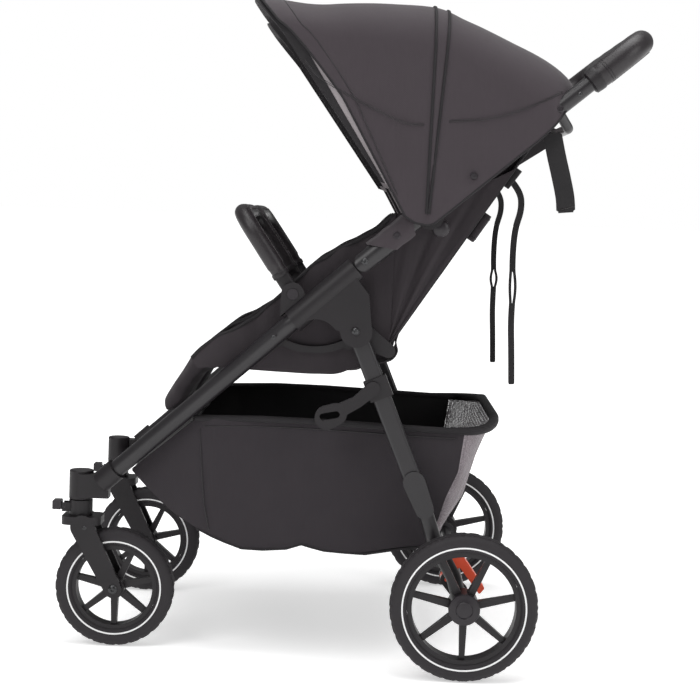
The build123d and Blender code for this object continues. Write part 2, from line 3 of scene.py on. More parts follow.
import math

import bpy
import numpy as np
from mathutils import Matrix, Vector


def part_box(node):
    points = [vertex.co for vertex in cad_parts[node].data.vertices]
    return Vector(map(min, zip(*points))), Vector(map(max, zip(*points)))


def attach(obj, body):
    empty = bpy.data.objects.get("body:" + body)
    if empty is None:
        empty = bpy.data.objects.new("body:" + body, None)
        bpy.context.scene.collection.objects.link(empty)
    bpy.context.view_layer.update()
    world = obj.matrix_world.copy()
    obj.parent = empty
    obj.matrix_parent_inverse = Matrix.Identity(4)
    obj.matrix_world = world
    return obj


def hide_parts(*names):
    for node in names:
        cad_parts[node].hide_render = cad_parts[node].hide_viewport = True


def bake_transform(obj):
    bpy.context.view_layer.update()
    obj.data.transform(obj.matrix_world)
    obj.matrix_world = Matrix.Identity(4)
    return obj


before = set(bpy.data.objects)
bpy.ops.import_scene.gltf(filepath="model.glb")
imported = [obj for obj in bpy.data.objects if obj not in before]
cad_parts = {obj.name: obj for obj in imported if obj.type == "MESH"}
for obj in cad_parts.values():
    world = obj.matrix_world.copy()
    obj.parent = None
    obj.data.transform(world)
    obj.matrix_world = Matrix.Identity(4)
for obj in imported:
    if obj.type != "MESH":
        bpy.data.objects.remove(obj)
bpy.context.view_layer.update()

AXLE_X = 0.1975        # the rear axle in the row frame, metres
SIDES = (("left", 1), ("right", -1))


# ---------------------------------------------------------------- finishes
class Value:
    """A shader socket that takes arithmetic."""

    def __init__(self, finish, socket):
        self.finish, self.socket = finish, socket

    def _math(self, operation, a, b):
        return self.finish.node("ShaderNodeMath", {"operation": operation}, {0: a, 1: b})

    def __add__(self, other):
        return self._math("ADD", self, other)

    __radd__ = __add__

    def __mul__(self, other):
        return self._math("MULTIPLY", self, other)

    __rmul__ = __mul__

    def __sub__(self, other):
        return self._math("SUBTRACT", self, other)

    def __rsub__(self, other):
        return self._math("SUBTRACT", other, self)

    def __gt__(self, other):
        return self._math("GREATER_THAN", self, other)


class Finish:
    """A procedural material on one Principled shader."""

    def __init__(self, name, **constants):
        self.material = bpy.data.materials.new(name)
        self.material.use_nodes = True
        self.tree = self.material.node_tree
        self.shader = self.tree.nodes["Principled BSDF"]
        for socket, value in constants.items():
            self.shader.inputs[socket.replace("_", " ")].default_value = value
        self.place = self.node("ShaderNodeTexCoord", out="Object")

    def node(self, kind, settings=None, inputs=None, out=0):
        made = self.tree.nodes.new(kind)
        for key, value in (settings or {}).items():
            if key == "ramp":
                for stop, (where, colour) in zip(made.color_ramp.elements, value):
                    stop.position, stop.color = where, colour
            else:
                setattr(made, key, value)
        for key, value in (inputs or {}).items():
            if isinstance(value, Value):
                self.tree.links.new(value.socket, made.inputs[key])
            else:
                made.inputs[key].default_value = value
        return Value(self, made.outputs[out])

    def feed(self, socket, value):
        self.tree.links.new(value.socket, self.shader.inputs[socket])

    def noise(self, scale, detail=3.0, stretch=(1, 1, 1)):
        place = self.node("ShaderNodeMapping", {}, {"Vector": self.place, "Scale": stretch})
        return self.node("ShaderNodeTexNoise", {},
                         {"Vector": place, "Scale": scale, "Detail": detail})

    def two_tone(self, low, high, mask):
        mix = {"data_type": "RGBA"}
        sockets = {0: mask, 6: (*low, 1), 7: (*high, 1)}
        self.feed("Base Color", self.node("ShaderNodeMix", mix, sockets, out=2))

    def bump(self, height, strength, distance):
        sockets = {"Height": height, "Strength": strength, "Distance": distance}
        self.feed("Normal", self.node("ShaderNodeBump", {}, sockets))


def moulded(name, low, high, rough, grain=900):
    """Moulded nylon with a fine spark grain and a soft sheen where hands rub it."""
    f = Finish(name, Specular_IOR_Level=0.32)
    f.two_tone(low, high, f.noise(9, 4))
    f.feed("Roughness", f.noise(22, 4) * 0.16 + (rough - 0.08))
    f.bump(f.noise(grain, 2), 0.22, 0.0004)
    return f.material


def powder_coat(name, low, high, rough):
    f = Finish(name, Coat_Roughness=0.3, Coat_Weight=0.12, Specular_IOR_Level=0.4)
    f.two_tone(low, high, f.noise(7, 3))
    f.feed("Roughness", f.noise(40, 3) * 0.1 + (rough - 0.05))
    f.bump(f.noise(1400, 2), 0.16, 0.00025)
    return f.material


def woven(name, low, high, rough=0.78, pitch=1500, sheen=0.12, drift=0.35):
    """Plain weave: crossed threads, a cloudy dye lot and faint slubs."""
    f = Finish(name, Sheen_Weight=sheen, Sheen_Roughness=0.5, Specular_IOR_Level=0.35)
    warp = f.node("ShaderNodeTexWave", {"bands_direction": "X"},
                  {"Vector": f.place, "Scale": pitch / 6.28, "Distortion": 0.6, "Detail": 1.0})
    weft = f.node("ShaderNodeTexWave", {"bands_direction": "DIAGONAL"},
                  {"Vector": f.place, "Scale": pitch / 6.28, "Distortion": 0.6, "Detail": 1.0})
    slub = f.noise(260, 2, (1, 1, 0.15))
    threads = warp * 0.5 + weft * 0.5
    f.two_tone(low, high, f.noise(6, 4) * drift + threads * 0.3 + slub * (0.7 - drift))
    f.feed("Roughness", threads * 0.08 + f.noise(30, 3) * 0.08 + (rough - 0.08))
    f.bump(threads * 0.6 + slub * 0.4, 0.35, 0.0005)
    return f.material


def grained_leather(name, low, high, rough):
    f = Finish(name, Coat_Roughness=0.4, Coat_Weight=0.05, Specular_IOR_Level=0.4)
    cells = f.node("ShaderNodeTexVoronoi", {"feature": "SMOOTH_F1"},
                   {"Vector": f.place, "Scale": 620.0, "Smoothness": 0.6})
    f.two_tone(low, high, f.noise(14, 4) * 0.6 + cells * 0.4)
    f.feed("Roughness", f.noise(25, 4) * 0.14 + (rough - 0.07))
    f.bump(cells * 0.7 + f.noise(300, 3) * 0.3, 0.3, 0.0005)
    return f.material


def rubber(name, low, high):
    f = Finish(name, Specular_IOR_Level=0.35)
    dust = f.noise(55, 5)
    f.two_tone(low, high, dust * 0.7 + f.noise(420, 2) * 0.3)
    f.feed("Roughness", dust * 0.15 + 0.62)
    f.bump(f.noise(700, 3), 0.25, 0.0005)
    return f.material


def ribbed_webbing(name, low, high):
    f = Finish(name, Sheen_Weight=0.02, Specular_IOR_Level=0.2)
    ribs = f.node("ShaderNodeTexWave", {"bands_direction": "Z"},
                  {"Vector": f.place, "Scale": 240.0, "Distortion": 0.4, "Detail": 1.0})
    f.two_tone(low, high, ribs * 0.5 + f.noise(40, 3) * 0.5)
    f.feed("Roughness", ribs * 0.1 + 0.66)
    f.bump(ribs, 0.5, 0.0005)
    return f.material


def see_through_mesh(name, low, high):
    """Knitted mesh: thin threads with rows of open holes."""
    f = Finish(name, Sheen_Weight=0.25)
    holes = f.node("ShaderNodeTexVoronoi", {"feature": "DISTANCE_TO_EDGE"},
                   {"Vector": f.place, "Scale": 420.0, "Randomness": 0.35})
    f.two_tone(low, high, f.noise(18, 3))
    f.feed("Roughness", f.noise(60, 3) * 0.1 + 0.7)
    f.feed("Alpha", 1 - (holes > 0.15) * 0.7)
    f.bump(holes, 0.4, 0.0004)
    return f.material


def plated(name, tone, rough):
    f = Finish(name, Metallic=1.0)
    f.two_tone([c * 0.8 for c in tone], tone, f.noise(120, 3))
    f.feed("Roughness", f.noise(220, 3) * 0.12 + (rough - 0.06))
    f.bump(f.noise(900, 2), 0.08, 0.0002)
    return f.material


GRAINED_NYLON = moulded("grained_nylon", (0.0080, 0.0067, 0.0077), (0.0130, 0.0107, 0.0126), 0.46)
RIM_NYLON = moulded("wheel_nylon", (0.0087, 0.0071, 0.0084), (0.0149, 0.0126, 0.0145), 0.4)
SATIN_NYLON = moulded("satin_cap", (0.0140, 0.0117, 0.0143), (0.0238, 0.0197, 0.0231), 0.34)
RED_NYLON = moulded("pedal_red", (0.62, 0.06, 0.025), (0.8, 0.11, 0.045), 0.42)
FRAME_COAT = powder_coat("frame_coat", (0.0081, 0.0069, 0.0083), (0.0123, 0.0105, 0.0124), 0.37)
HOOD_CLOTH = woven("hood_cloth", (0.0253, 0.0192, 0.0231), (0.0379, 0.0291, 0.0347))
SEAT_CLOTH = woven("seat_cloth", (0.0147, 0.0111, 0.0136), (0.0245, 0.0185, 0.0224))
BASKET_CLOTH = woven("basket_cloth", (0.0140, 0.0107, 0.0136), (0.0211, 0.0165, 0.0204), 0.8)
BASKET_LINING = woven("basket_lining", (0.006, 0.0055, 0.006), (0.011, 0.01, 0.011), 0.9, 1500,
                      0.05)
LINING = woven("hood_lining", (0.25, 0.225, 0.235), (0.33, 0.3, 0.31), 0.8, 1200, 0.2)
BINDING = ribbed_webbing("edge_binding", (0.012, 0.011, 0.012), (0.022, 0.02, 0.022))
WEBBING = ribbed_webbing("strap_webbing", (0.011, 0.010, 0.011), (0.02, 0.019, 0.02))
# The mesh's light pinkish grey is partly its own tone and partly painted light. It is set lighter
# to stand in for the white backdrop shining through the knit.
MESH = see_through_mesh("basket_mesh", (0.17, 0.145, 0.158), (0.25, 0.218, 0.235))
LEATHER = grained_leather("grip_leather", (0.0092, 0.0070, 0.0085), (0.0151, 0.0118, 0.0138), 0.42)
RUBBER = rubber("tyre_rubber", (0.0154, 0.0136, 0.0156), (0.0238, 0.0203, 0.0231))
RING = woven("reflective_ring", (0.7, 0.7, 0.7), (0.86, 0.86, 0.86), 0.45, 900, 0.0)
SCREW = plated("dark_screw", (0.06, 0.06, 0.062), 0.3)
SEAM = woven("seam_thread", (0.01, 0.009, 0.01), (0.02, 0.018, 0.02), 0.7, 2500, 0.1)
THREAD = woven("stitch_thread", (0.05, 0.045, 0.047), (0.09, 0.08, 0.084), 0.6, 2500, 0.2)


# ---------------------------------------------------------------- meshes
def piece(name, mesh, finish, body, slot=None, stands_for=(), crease=35, bend=None, inside=None):
    """Puts a mesh, given in millimetres from the rear axle, on a body.

    A sheet may have another finish inside.
    """
    verts, faces = mesh[:2]
    verts = np.array(verts, float) / 1000
    verts[:, 0] += AXLE_X
    data = bpy.data.meshes.new(name)
    data.from_pydata(verts.tolist(), [], [tuple(int(i) for i in f) for f in faces])
    data.validate()
    data.shade_smooth()
    data.set_sharp_from_angle(angle=math.radians(crease))
    made = bpy.data.objects.new(name, data)
    bpy.context.scene.collection.objects.link(made)
    data.materials.append(finish)
    if inside:
        data.materials.append(inside)
        data.polygons.foreach_set("material_index", mesh[2])
    if bend:
        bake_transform(made)
    else:
        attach(made, body)
    if stands_for:
        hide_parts(*stands_for)
    return made


def flipped(mesh):
    return (np.array(mesh[0], float) * (1, -1, 1), [tuple(reversed(f)) for f in mesh[1]],
            *mesh[2:])


def pair(name, mesh, finish, body, slot=None, stands_for=(), bend=None, **more):
    """The left piece and its mirror image; {side} in a name becomes left or right."""
    made = []
    for side, sign in SIDES:
        ends = None
        if bend:
            points = [row(p[0], p[1] * sign, p[2]) for p in bend[2:]]
            ends = (bend[0].format(side=side), bend[1].format(side=side), *points)
        names = [n.format(side=side) for n in stands_for]
        shape = mesh if sign > 0 else flipped(mesh)
        made.append(piece(f"{name}_{side}", shape, finish, (body or "").format(side=side), slot,
                          names, bend=ends, **more))
    return made


def row(x, y, z):
    return (x / 1000 + AXLE_X, y / 1000, z / 1000)


def merged(*meshes):
    verts, faces, start = [], [], 0
    for v, f, *_ in meshes:
        verts.append(np.asarray(v, float))
        faces += [tuple(i + start for i in face) for face in f]
        start += len(v)
    return np.concatenate(verts), faces


def quads(m, n, close_m=False, close_n=False, start=0):
    rows, cols = (m if close_m else m - 1), (n if close_n else n - 1)
    at = lambda i, j: start + (i % m) * n + j % n
    return [(at(i, j), at(i + 1, j), at(i + 1, j + 1), at(i, j + 1)) for i in range(rows)
            for j in range(cols)]


def cloth(points, thick, face=0):
    """Sheet with a real thickness, its middle on an (m, n, 3) grid of points.

    face is the side that shows.
    """
    points = np.asarray(points, float)
    m, n = points.shape[:2]
    normal = np.cross(np.gradient(points, axis=0), np.gradient(points, axis=1))
    normal /= np.linalg.norm(normal, axis=2, keepdims=True) + 1e-12
    both = np.concatenate([(points + normal * thick / 2).reshape(-1, 3),
                           (points - normal * thick / 2).reshape(-1, 3)])
    faces = quads(m, n)
    faces += [tuple(k + m * n for k in reversed(f)) for f in quads(m, n)]
    rim = [(0, j) for j in range(n)] + [(i, n - 1) for i in range(1, m)]
    rim += [(m - 1, j) for j in range(n - 2, -1, -1)] + [(i, 0) for i in range(m - 2, 0, -1)]
    ids = [i * n + j for i, j in rim]
    for a, b in zip(ids, ids[1:] + ids[:1]):
        faces.append((a, b, b + m * n, a + m * n))
    one_side = (m - 1) * (n - 1)
    return both, faces, [face] * one_side + [1 - face] * one_side + [0] * len(ids)


def declared(made, grid, held, rests_on, *with_pairs):
    """Works out the size that a pair of cloths' grid unrolls to; nothing is declared with it."""
    grid = np.asarray(grid, float) / 1000
    width = np.linalg.norm(np.diff(grid, axis=1), axis=2).sum(1).max()
    length = np.linalg.norm(np.diff(grid, axis=0), axis=2).sum(0).max()
    a, b = grid[1:, 1:] - grid[:-1, :-1], grid[1:, :-1] - grid[:-1, 1:]
    area = min(np.linalg.norm(np.cross(a, b), axis=2).sum() / 2, width * length)
    width = min(width, area / length / 0.7)        # a slanted cut fills 0.7 of its rectangle
    for k, one in enumerate(made):
        names = [n.format(side=SIDES[k][0]) for n in rests_on]


def smooth(points, count):
    """Points along a smooth curve through the given ones, evenly spaced."""
    p = np.asarray(points, float)
    ends = np.vstack([2 * p[0] - p[1], p, 2 * p[-1] - p[-2]])
    fine = []
    for a, b, c, d in zip(ends, ends[1:], ends[2:], ends[3:]):
        t = np.linspace(0, 1, 24, endpoint=False)[:, None]
        fine.append(0.5 * (2 * b + (c - a) * t + (2 * a - 5 * b + 4 * c - d) * t**2
                           + (3 * b - a - 3 * c + d) * t**3))
    return even(np.vstack(fine + [p[-1:]]), count)


def even(line, count):
    line = np.asarray(line, float)
    s = np.r_[0, np.cumsum(np.linalg.norm(np.diff(line, axis=0), axis=1))]
    want = np.linspace(0, s[-1], count)
    return np.stack([np.interp(want, s, line[:, k]) for k in range(line.shape[1])], 1)


def rounded(points, radius, step=5.0):
    """A polyline with round corners, evenly spaced."""
    p = [np.asarray(q, float) for q in points]
    line = [p[0]]
    for a, b, c in zip(p, p[1:], p[2:]):
        u, w = (a - b) / np.linalg.norm(a - b), (c - b) / np.linalg.norm(c - b)
        half = math.acos(np.clip(u @ w, -1, 1)) / 2
        if half > 1.55:
            line.append(b)
            continue
        cut = radius / math.tan(half)
        centre = b + (u + w) / np.linalg.norm(u + w) * radius / math.sin(half)
        e1, e2 = b + u * cut - centre, b + w * cut - centre
        turn = math.acos(np.clip(e1 @ e2 / radius**2, -1, 1))
        for t in np.linspace(0, 1, 13):
            k1, k2 = math.sin((1 - t) * turn) / math.sin(turn), math.sin(t * turn) / math.sin(turn)
            line.append(centre + e1 * k1 + e2 * k2)
    line.append(p[-1])
    line = np.array(line)
    length = np.linalg.norm(np.diff(line, axis=0), axis=1).sum()
    return even(line, max(8, int(length / step)))


def frames(path, side_hint=(0, 1, 0)):
    """Tangent, side and up vectors along a path, without twist."""
    path = np.asarray(path, float)
    tangent = np.gradient(path, axis=0)
    tangent /= np.linalg.norm(tangent, axis=1, keepdims=True)
    side = np.array(side_hint, float)
    sides = []
    for t in tangent:
        side = side - t * (side @ t)
        side /= np.linalg.norm(side)
        sides.append(side)
    sides = np.array(sides)
    return tangent, sides, np.cross(tangent, sides)


def sweep(path, section, side_hint=(0, 1, 0), scale=None, twist=None):
    """Closed section of (side, up) points carried along a path, with end caps."""
    path, section = np.asarray(path, float), np.asarray(section, float)
    _, side, up = frames(path, side_hint)
    scale = np.ones(len(path)) if scale is None else np.asarray(scale, float)
    twist = np.zeros(len(path)) if twist is None else np.asarray(twist, float)
    c, s = np.cos(twist)[:, None], np.sin(twist)[:, None]
    side, up = side * c + up * s, up * c - side * s
    verts = path[:, None] + scale[:, None, None] * (
        side[:, None] * section[None, :, :1] + up[:, None] * section[None, :, 1:2])
    n = len(section)
    faces = quads(len(path), n, close_n=True)
    faces += [tuple(range(n)), tuple(range((len(path) - 1) * n, len(path) * n))[::-1]]
    return verts.reshape(-1, 3), [tuple(reversed(f)) for f in faces]


def ring(radius, count=20, flat=1.0):
    a = np.arange(count) * 2 * math.pi / count
    return np.stack([radius * np.cos(a), radius * flat * np.sin(a)], 1)


def lathe(profile, centre, axis, turns=28, ripple=None):
    """Turns (along, radius) points about an axis through centre."""
    axis = np.asarray(axis, float) / np.linalg.norm(axis)
    a = np.cross(axis, (0, 0, 1) if abs(axis[2]) < 0.9 else (1, 0, 0))
    a /= np.linalg.norm(a)
    b = np.cross(axis, a)
    prof = np.asarray(profile, float)
    angle = np.arange(turns) * 2 * math.pi / turns
    radius = np.tile(prof[:, 1], (turns, 1))
    if ripple is not None:
        radius = radius + ripple(np.arange(turns)[:, None], prof[None])
    spoke = np.cos(angle)[:, None] * a + np.sin(angle)[:, None] * b
    verts = (np.asarray(centre, float) + prof[None, :, :1] * axis
             + radius[:, :, None] * spoke[:, None])
    n = len(prof)
    faces = quads(turns, n, close_m=True, close_n=prof[0, 1] > 0
                  and np.allclose(prof[0], prof[-1]))
    return verts.reshape(-1, 3), [tuple(reversed(f)) for f in faces]


# ---------------------------------------------------------------- camera, floor and light
def set_camera():
    data = bpy.data.cameras.new("camera")
    data.lens, data.sensor_width = 88.36, 36
    camera = bpy.data.objects.new("camera", data)
    bpy.context.scene.collection.objects.link(camera)
    yaw, pitch, roll = (math.radians(a) for a in (-0.475, 4.467, 2.048))
    ahead = Vector((math.sin(yaw) * math.cos(pitch), math.cos(yaw) * math.cos(pitch),
                    -math.sin(pitch)))
    right = Vector((math.cos(yaw), -math.sin(yaw), 0))
    up = right.cross(ahead)
    right, up = (right * math.cos(roll) + up * math.sin(roll),
                 up * math.cos(roll) - right * math.sin(roll))
    camera.matrix_world = Matrix((
        (right.x, up.x, -ahead.x, 0.0296), (right.y, up.y, -ahead.y, -2.9701),
        (right.z, up.z, -ahead.z, 0.7116), (0, 0, 0, 1)))
    bpy.context.scene.camera = camera


def set_stage():
    f = Finish("studio_floor", Roughness=0.9, Emission_Strength=1.0)
    # The floor glows as a light of its own, which is painted light. The glow is half as strong
    # within about a metre of the middle as beyond 2.4 m, which leaves painted shade round the
    # stroller.
    apart = f.node("ShaderNodeVectorMath", {"operation": "LENGTH"}, {0: f.place}, out="Value")
    spread = f.node("ShaderNodeMapRange", {}, {"Value": apart, "From Min": 0.9, "From Max": 2.4})
    painted_floor_glow = {0: spread, 6: (0.5, 0.5, 0.5, 1), 7: (1, 1, 1, 1)}
    f.feed("Emission Color", f.node("ShaderNodeMix", {"data_type": "RGBA"}, painted_floor_glow, out=2))
    f.two_tone((0.93, 0.93, 0.93), (0.95, 0.95, 0.95), f.noise(3))
    data = bpy.data.meshes.new("studio_floor")
    size = 300
    data.from_pydata([(-size, -size, 0), (size, -size, 0), (size, size, 0), (-size, size, 0)], [],
                     [(0, 1, 2, 3)])
    data.materials.append(f.material)
    floor = bpy.data.objects.new("studio_floor", data)
    bpy.context.scene.collection.objects.link(floor)
    floor.location.z = -0.0006
    world = bpy.data.worlds.new("studio")
    world.use_nodes = True
    tree = world.node_tree
    sky = tree.nodes["Background"]
    sky.inputs["Color"].default_value = (1, 1, 1, 1)
    seen, dim = tree.nodes.new("ShaderNodeLightPath"), tree.nodes.new("ShaderNodeMapRange")
    dim.inputs["To Min"].default_value = 0.3
    tree.links.new(seen.outputs["Is Camera Ray"], dim.inputs["Value"])
    tree.links.new(dim.outputs["Result"], sky.inputs["Strength"])
    bpy.context.scene.world = world
    bpy.context.scene.view_settings.view_transform = "Standard"
    for name, place, size, power in (("key", (-1.6, -2.4, 2.9), 1.8, 44),
                                     ("top", (0.2, -0.3, 3.2), 2.4, 76),
                                     ("side", (2.4, -1.8, 1.7), 1.4, 20)):
        lamp = bpy.data.lights.new(name, "AREA")
        lamp.size, lamp.energy = size, power
        made = bpy.data.objects.new(name, lamp)
        made.location = place
        made.rotation_mode = "QUATERNION"
        made.rotation_quaternion = (Vector((0, 0, 0.55)) - Vector(place)).to_track_quat("-Z", "Y")
        bpy.context.scene.collection.objects.link(made)


set_camera()
set_stage()


# ---------------------------------------------------------------- finishes of the CAD pieces
def finish_cad():
    rules = [("rear_rim", RIM_NYLON), ("front_rim", RIM_NYLON), ("front_leg", FRAME_COAT),
             ("rear_leg", FRAME_COAT),
             ("rear_strut", FRAME_COAT), ("rear_axle", FRAME_COAT), ("cross_tubes", FRAME_COAT),
             ("handle_tube", FRAME_COAT), ("handle_cross", FRAME_COAT),
             ("handle_collar", FRAME_COAT),
             ("basket_rim", FRAME_COAT), ("pivot_pins", SCREW), ("brake_pedal", RED_NYLON),
             ("bumper_button", SATIN_NYLON), ("calf_button", SATIN_NYLON),
             ("swivel_lock", SATIN_NYLON)]
    for name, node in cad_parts.items():
        finish = next((m for start, m in rules if name.startswith(start)), GRAINED_NYLON)
        node.data.materials.clear()
        node.data.materials.append(finish)
        node.data.shade_smooth()
        node.data.set_sharp_from_angle(angle=math.radians(32))


finish_cad()


# ---------------------------------------------------------------- wheels
REAR_WHEEL = (0.0, 350.0, 115.0, 42.0, 88.0)       # axle x, lateral y, radius, width, bead radius
FRONT_WHEEL = (-560.0, 209.0, 96.5, 36.0, 69.0)
TREAD_PITCH = 5.2


def tyre(wheel):
    """Tyre with ribbed crown and notched shoulders."""
    x, y, radius, width, bead = wheel
    w, h = width / 2, radius - bead
    side = [(0.78, 0.0), (0.93, 0.10), (0.985, 0.26), (1.0, 0.45), (0.985, 0.62), (0.94, 0.76),
            (0.86, 0.87),
            (0.74, 0.945), (0.60, 0.98), (0.58, 0.935), (0.50, 0.93), (0.48, 0.99), (0.2, 1.0),
            (0.18, 0.95),
            (0.08, 0.95), (0.06, 1.0)]
    half = [(w * a, bead + h * b) for a, b in side]
    profile = half + [(-a, r) for a, r in reversed(half)] + [half[0]]
    count = 2 * int(math.pi * radius / TREAD_PITCH)

    def notch(i, prof):
        a, r = np.abs(prof[..., 0]) / w, prof[..., 1]
        shoulder = (a > 0.59) & (r > bead + h * 0.74)
        rib = (a < 0.5) & (r > bead + h * 0.985)
        return np.where(shoulder & (i % 2 == 0), -1.5, 0) + np.where(rib & (i % 4 == 0), -1.1, 0)

    return lathe(profile, (x, -y, radius), (0, 1, 0), count, notch)


def flat_ring(wheel, middle, width, off):
    """Thin band bonded to both side walls."""
    x, y, radius, _, _ = wheel
    bands = []
    for sign in (-1, 1):
        profile = [(sign * off, middle - width / 2),
                   (sign * (off + 0.7), middle - width / 2 + 0.3),
                   (sign * (off + 0.7), middle + width / 2 - 0.3),
                   (sign * off, middle + width / 2),
                   (sign * (off - 1.2), middle + width / 2),
                   (sign * (off - 1.2), middle - width / 2)]
        profile.append(profile[0])
        band = lathe(profile if sign < 0 else profile[::-1], (x, -y, radius), (0, 1, 0), 96)
        bands.append(band)
    return merged(*bands)


def hub_cap(wheel, hub, face, rise):
    """Domed cap with a rim step and a shallow ring groove on the outer face."""
    x, y, radius, _, _ = wheel
    profile = [(face + 3, hub + 4.5), (face, hub + 5), (face - 1.5, hub + 4.2), (face - 2.2, hub),
               (face - rise * 0.75, hub - 2), (face - rise, hub * 0.72),
               (face - rise + 0.7, hub * 0.66),
               (face - rise - 0.3, hub * 0.60), (face - rise - 0.8, hub * 0.3),
               (face - rise - 0.9, 0.0)]
    return lathe(profile, (x, -y, radius), (0, 1, 0), 48)


def wheels():
    for kind, wheel, ring_at, hub, face, rise in (
            ("rear", REAR_WHEEL, 95.5, 24.0, None, 3.2), ("front", FRONT_WHEEL, 75.7, 17.0, None,
                                                          0)):
        width = wheel[3]
        body = kind + "_wheel_{side}"
        pair(f"{kind}_tyre_ribbed", tyre(wheel), RUBBER, body, "tyre", [kind + "_tyre_{side}"],
             crease=24)
        off = width / 2 * (0.985 if kind == "rear" else 0.98)
        pair(f"{kind}_reflective_ring", flat_ring(wheel, ring_at, 2.6, off), RING, body, "tyre")
        low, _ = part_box(f"{kind}_rim_left")
        face = (low.y * 1000) + wheel[1]
        if kind == "rear":
            pair("rear_hub_cap", hub_cap(wheel, hub - 4.5, face, rise), SATIN_NYLON, body,
                 "plastic")


wheels()


# ---------------------------------------------------------------- screws and snaps
def screw_head(x, y, z, radius, side=-1):
    """Domed screw head with a socket, facing out from the left side."""
    h = radius * 0.55
    profile = [(-1.5, radius * 0.8), (0, radius), (h * 0.35, radius * 0.98),
               (h * 0.8, radius * 0.72), (h, radius * 0.42),
               (h * 0.95, radius * 0.36), (h * 0.3, radius * 0.34), (h * 0.3, 0)]
    return lathe(profile, (x, y, z), (0, side, 0), 24)


def snap_cap(x, y, z, radius, direction=(0, -1, 0)):
    profile = [(-0.5, radius), (0.8, radius), (1.8, radius * 0.86), (2.1, radius * 0.6),
               (1.4, radius * 0.5), (1.3, 0)]
    return lathe(profile, (x, y, z), direction, 28)


def screws():
    def outer(node, side=0):
        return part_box(node)[side].y * 1000
    plate = outer("hinge_casing_left")
    collar = outer("handle_collar_left")
    heads = merged(screw_head(-183, plate + 0.3, 534, 5.2),
                   screw_head(-309, plate + 0.3, 520, 3.4),
                   screw_head(-273, -290, 590, 0.1))
    pair("casing_screws", heads, SCREW, "front_frame", "steel")
    pair("collar_screws", merged(screw_head(-172, collar + 0.4, 642, 5.4)), SCREW, "handle_frame",
         "steel")
    pair("handle_rivets", merged(screw_head(148, -317.2, 909, 3.6)), SCREW, "handle_frame",
         "steel")
    fork = outer("castor_fork_left")
    pair("castor_screws",
         merged(screw_head(-560, fork + 0.3, 96.5, 7.5), screw_head(-608, fork + 0.3, 195, 3.6)),
         SCREW, "castor_{side}", "steel")


screws()


# ---------------------------------------------------------------- hoods
HUB_X, HUB_Z = -74.0, 716.0
HOOD_OUT, HOOD_IN, HOOD_CORNER = 327.0, 8.0, 68.0
RIDGE = 88.5
HOOD_RADII = [(36, 284), (46, 303), (66, 297), (80, 306), (88.5, 320), (101, 331), (113.5, 353),
              (122, 379), (131, 436)]
APEX = [(-59, 711), (-68, 704), (-79, 701), (-97, 704), (-118, 717)]


HOOD_CURVE = smooth(HOOD_RADII, 200)
REAR_EDGE, FRONT_EDGE = 37.0, 131.0    # angles of the cloth's edges about the hub, degrees
REAR_LIFT = 8.0                        # how much higher the rear edge is at the top middle


def hood_point(t, v, inset=0.0):
    """Point of the hood cloth: t runs from rear edge to front edge, v round the U of a bow."""
    across = 1 - abs(2 * v - 1)                       # 0 at both side hems, 1 at the top middle
    lift = min(1.0, max(0.0, (across - 0.42) / 0.35))
    lift = lift * lift * (3 - 2 * lift)
    rear = REAR_EDGE + REAR_LIFT * lift
    if t < 0.5:
        angle = rear + (RIDGE - rear) * t / 0.5
    else:
        angle = RIDGE + (FRONT_EDGE - RIDGE) * (t - 0.5) / 0.5
    radius = np.interp(angle, HOOD_CURVE[:, 0], HOOD_CURVE[:, 1]) - inset
    apex = np.array([np.interp(t * 4, range(5), [p[k] for p in APEX]) for k in (0, 1)])
    a = math.radians(angle)
    along = np.array([math.cos(a), math.sin(a)])
    hub = np.array([HUB_X, HUB_Z])
    corner = HOOD_CORNER
    half = (HOOD_OUT - HOOD_IN) / 2 - inset
    middle = -(HOOD_OUT + HOOD_IN) / 2
    # length of the side and of half of the top
    side_len, top_len = radius - corner, half - corner
    cut = (0.46, 0.72)
    w = min(v, 1 - v) * 2
    nest = 4.5 * min(1.0, max(0.0, (RIDGE + 1 - angle) / 4))
    if w <= cut[0]:
        s = w / cut[0]
        top = hub + along * side_len
        flat = apex + (top - apex) * s
        between = math.sin(math.pi * min(1, abs(angle - RIDGE) / 43))
        y = half - nest - 5.0 * math.sin(math.pi * s) * between * 0.6
        near_hub = max(0.0, 1 - s / 0.3) ** 2
        y += near_hub * (1.5 if v < 0.5 else -10.0)
        if v < 0.5:
            away = np.linalg.norm(flat - hub)
            y += (nest + 3.4) * np.clip((78 - away) / 40, 0, 1) ** 0.6
    elif w <= cut[1]:
        q = (w - cut[0]) / (cut[1] - cut[0]) * math.pi / 2
        flat = hub + along * (side_len + corner * math.sin(q))
        y = half - nest - corner * (1 - math.cos(q))
    else:
        s = (w - cut[1]) / (1 - cut[1])
        crown = 9.0 * math.sin(s * math.pi / 2)
        flat = hub + along * (radius + crown)
        y = (top_len - nest) * (1 - s)
    sign = -1 if v < 0.5 else 1
    return np.array([flat[0], middle + sign * y, flat[1]])


def hood_front(v):
    """Where the outer cloth ends: a little behind the visor along the sides."""
    w = min(v, 1 - v) * 2
    return 1.0 - 0.05 * min(1.0, max(0.0, (0.5 - w) / 0.2)) - 0.012


def hood_grid(ts, vs, inset=0.0):
    return np.array([[hood_point(t, v, inset) for v in vs] for t in ts])


def hood_sag(points, ts, vs):
    """Cloth pulls in between bows, with faint tension lines from the hub."""
    out = points.copy()
    for i, t in enumerate(ts):
        span = math.sin(math.pi * (t / 0.5 if t < 0.5 else (t - 0.5) / 0.5))
        for j, v in enumerate(vs):
            w = min(v, 1 - v) * 2
            pull = 2.2 * span * math.sin(math.pi * min(1, w / 0.46)) * math.sin(9 * t + 3 * w)
            sign = 1 if v < 0.5 else -1
            if w < 0.46:
                out[i, j, 1] += sign * (2.5 * span + pull * 0.5) * min(1.0, w / 0.15)
    return out


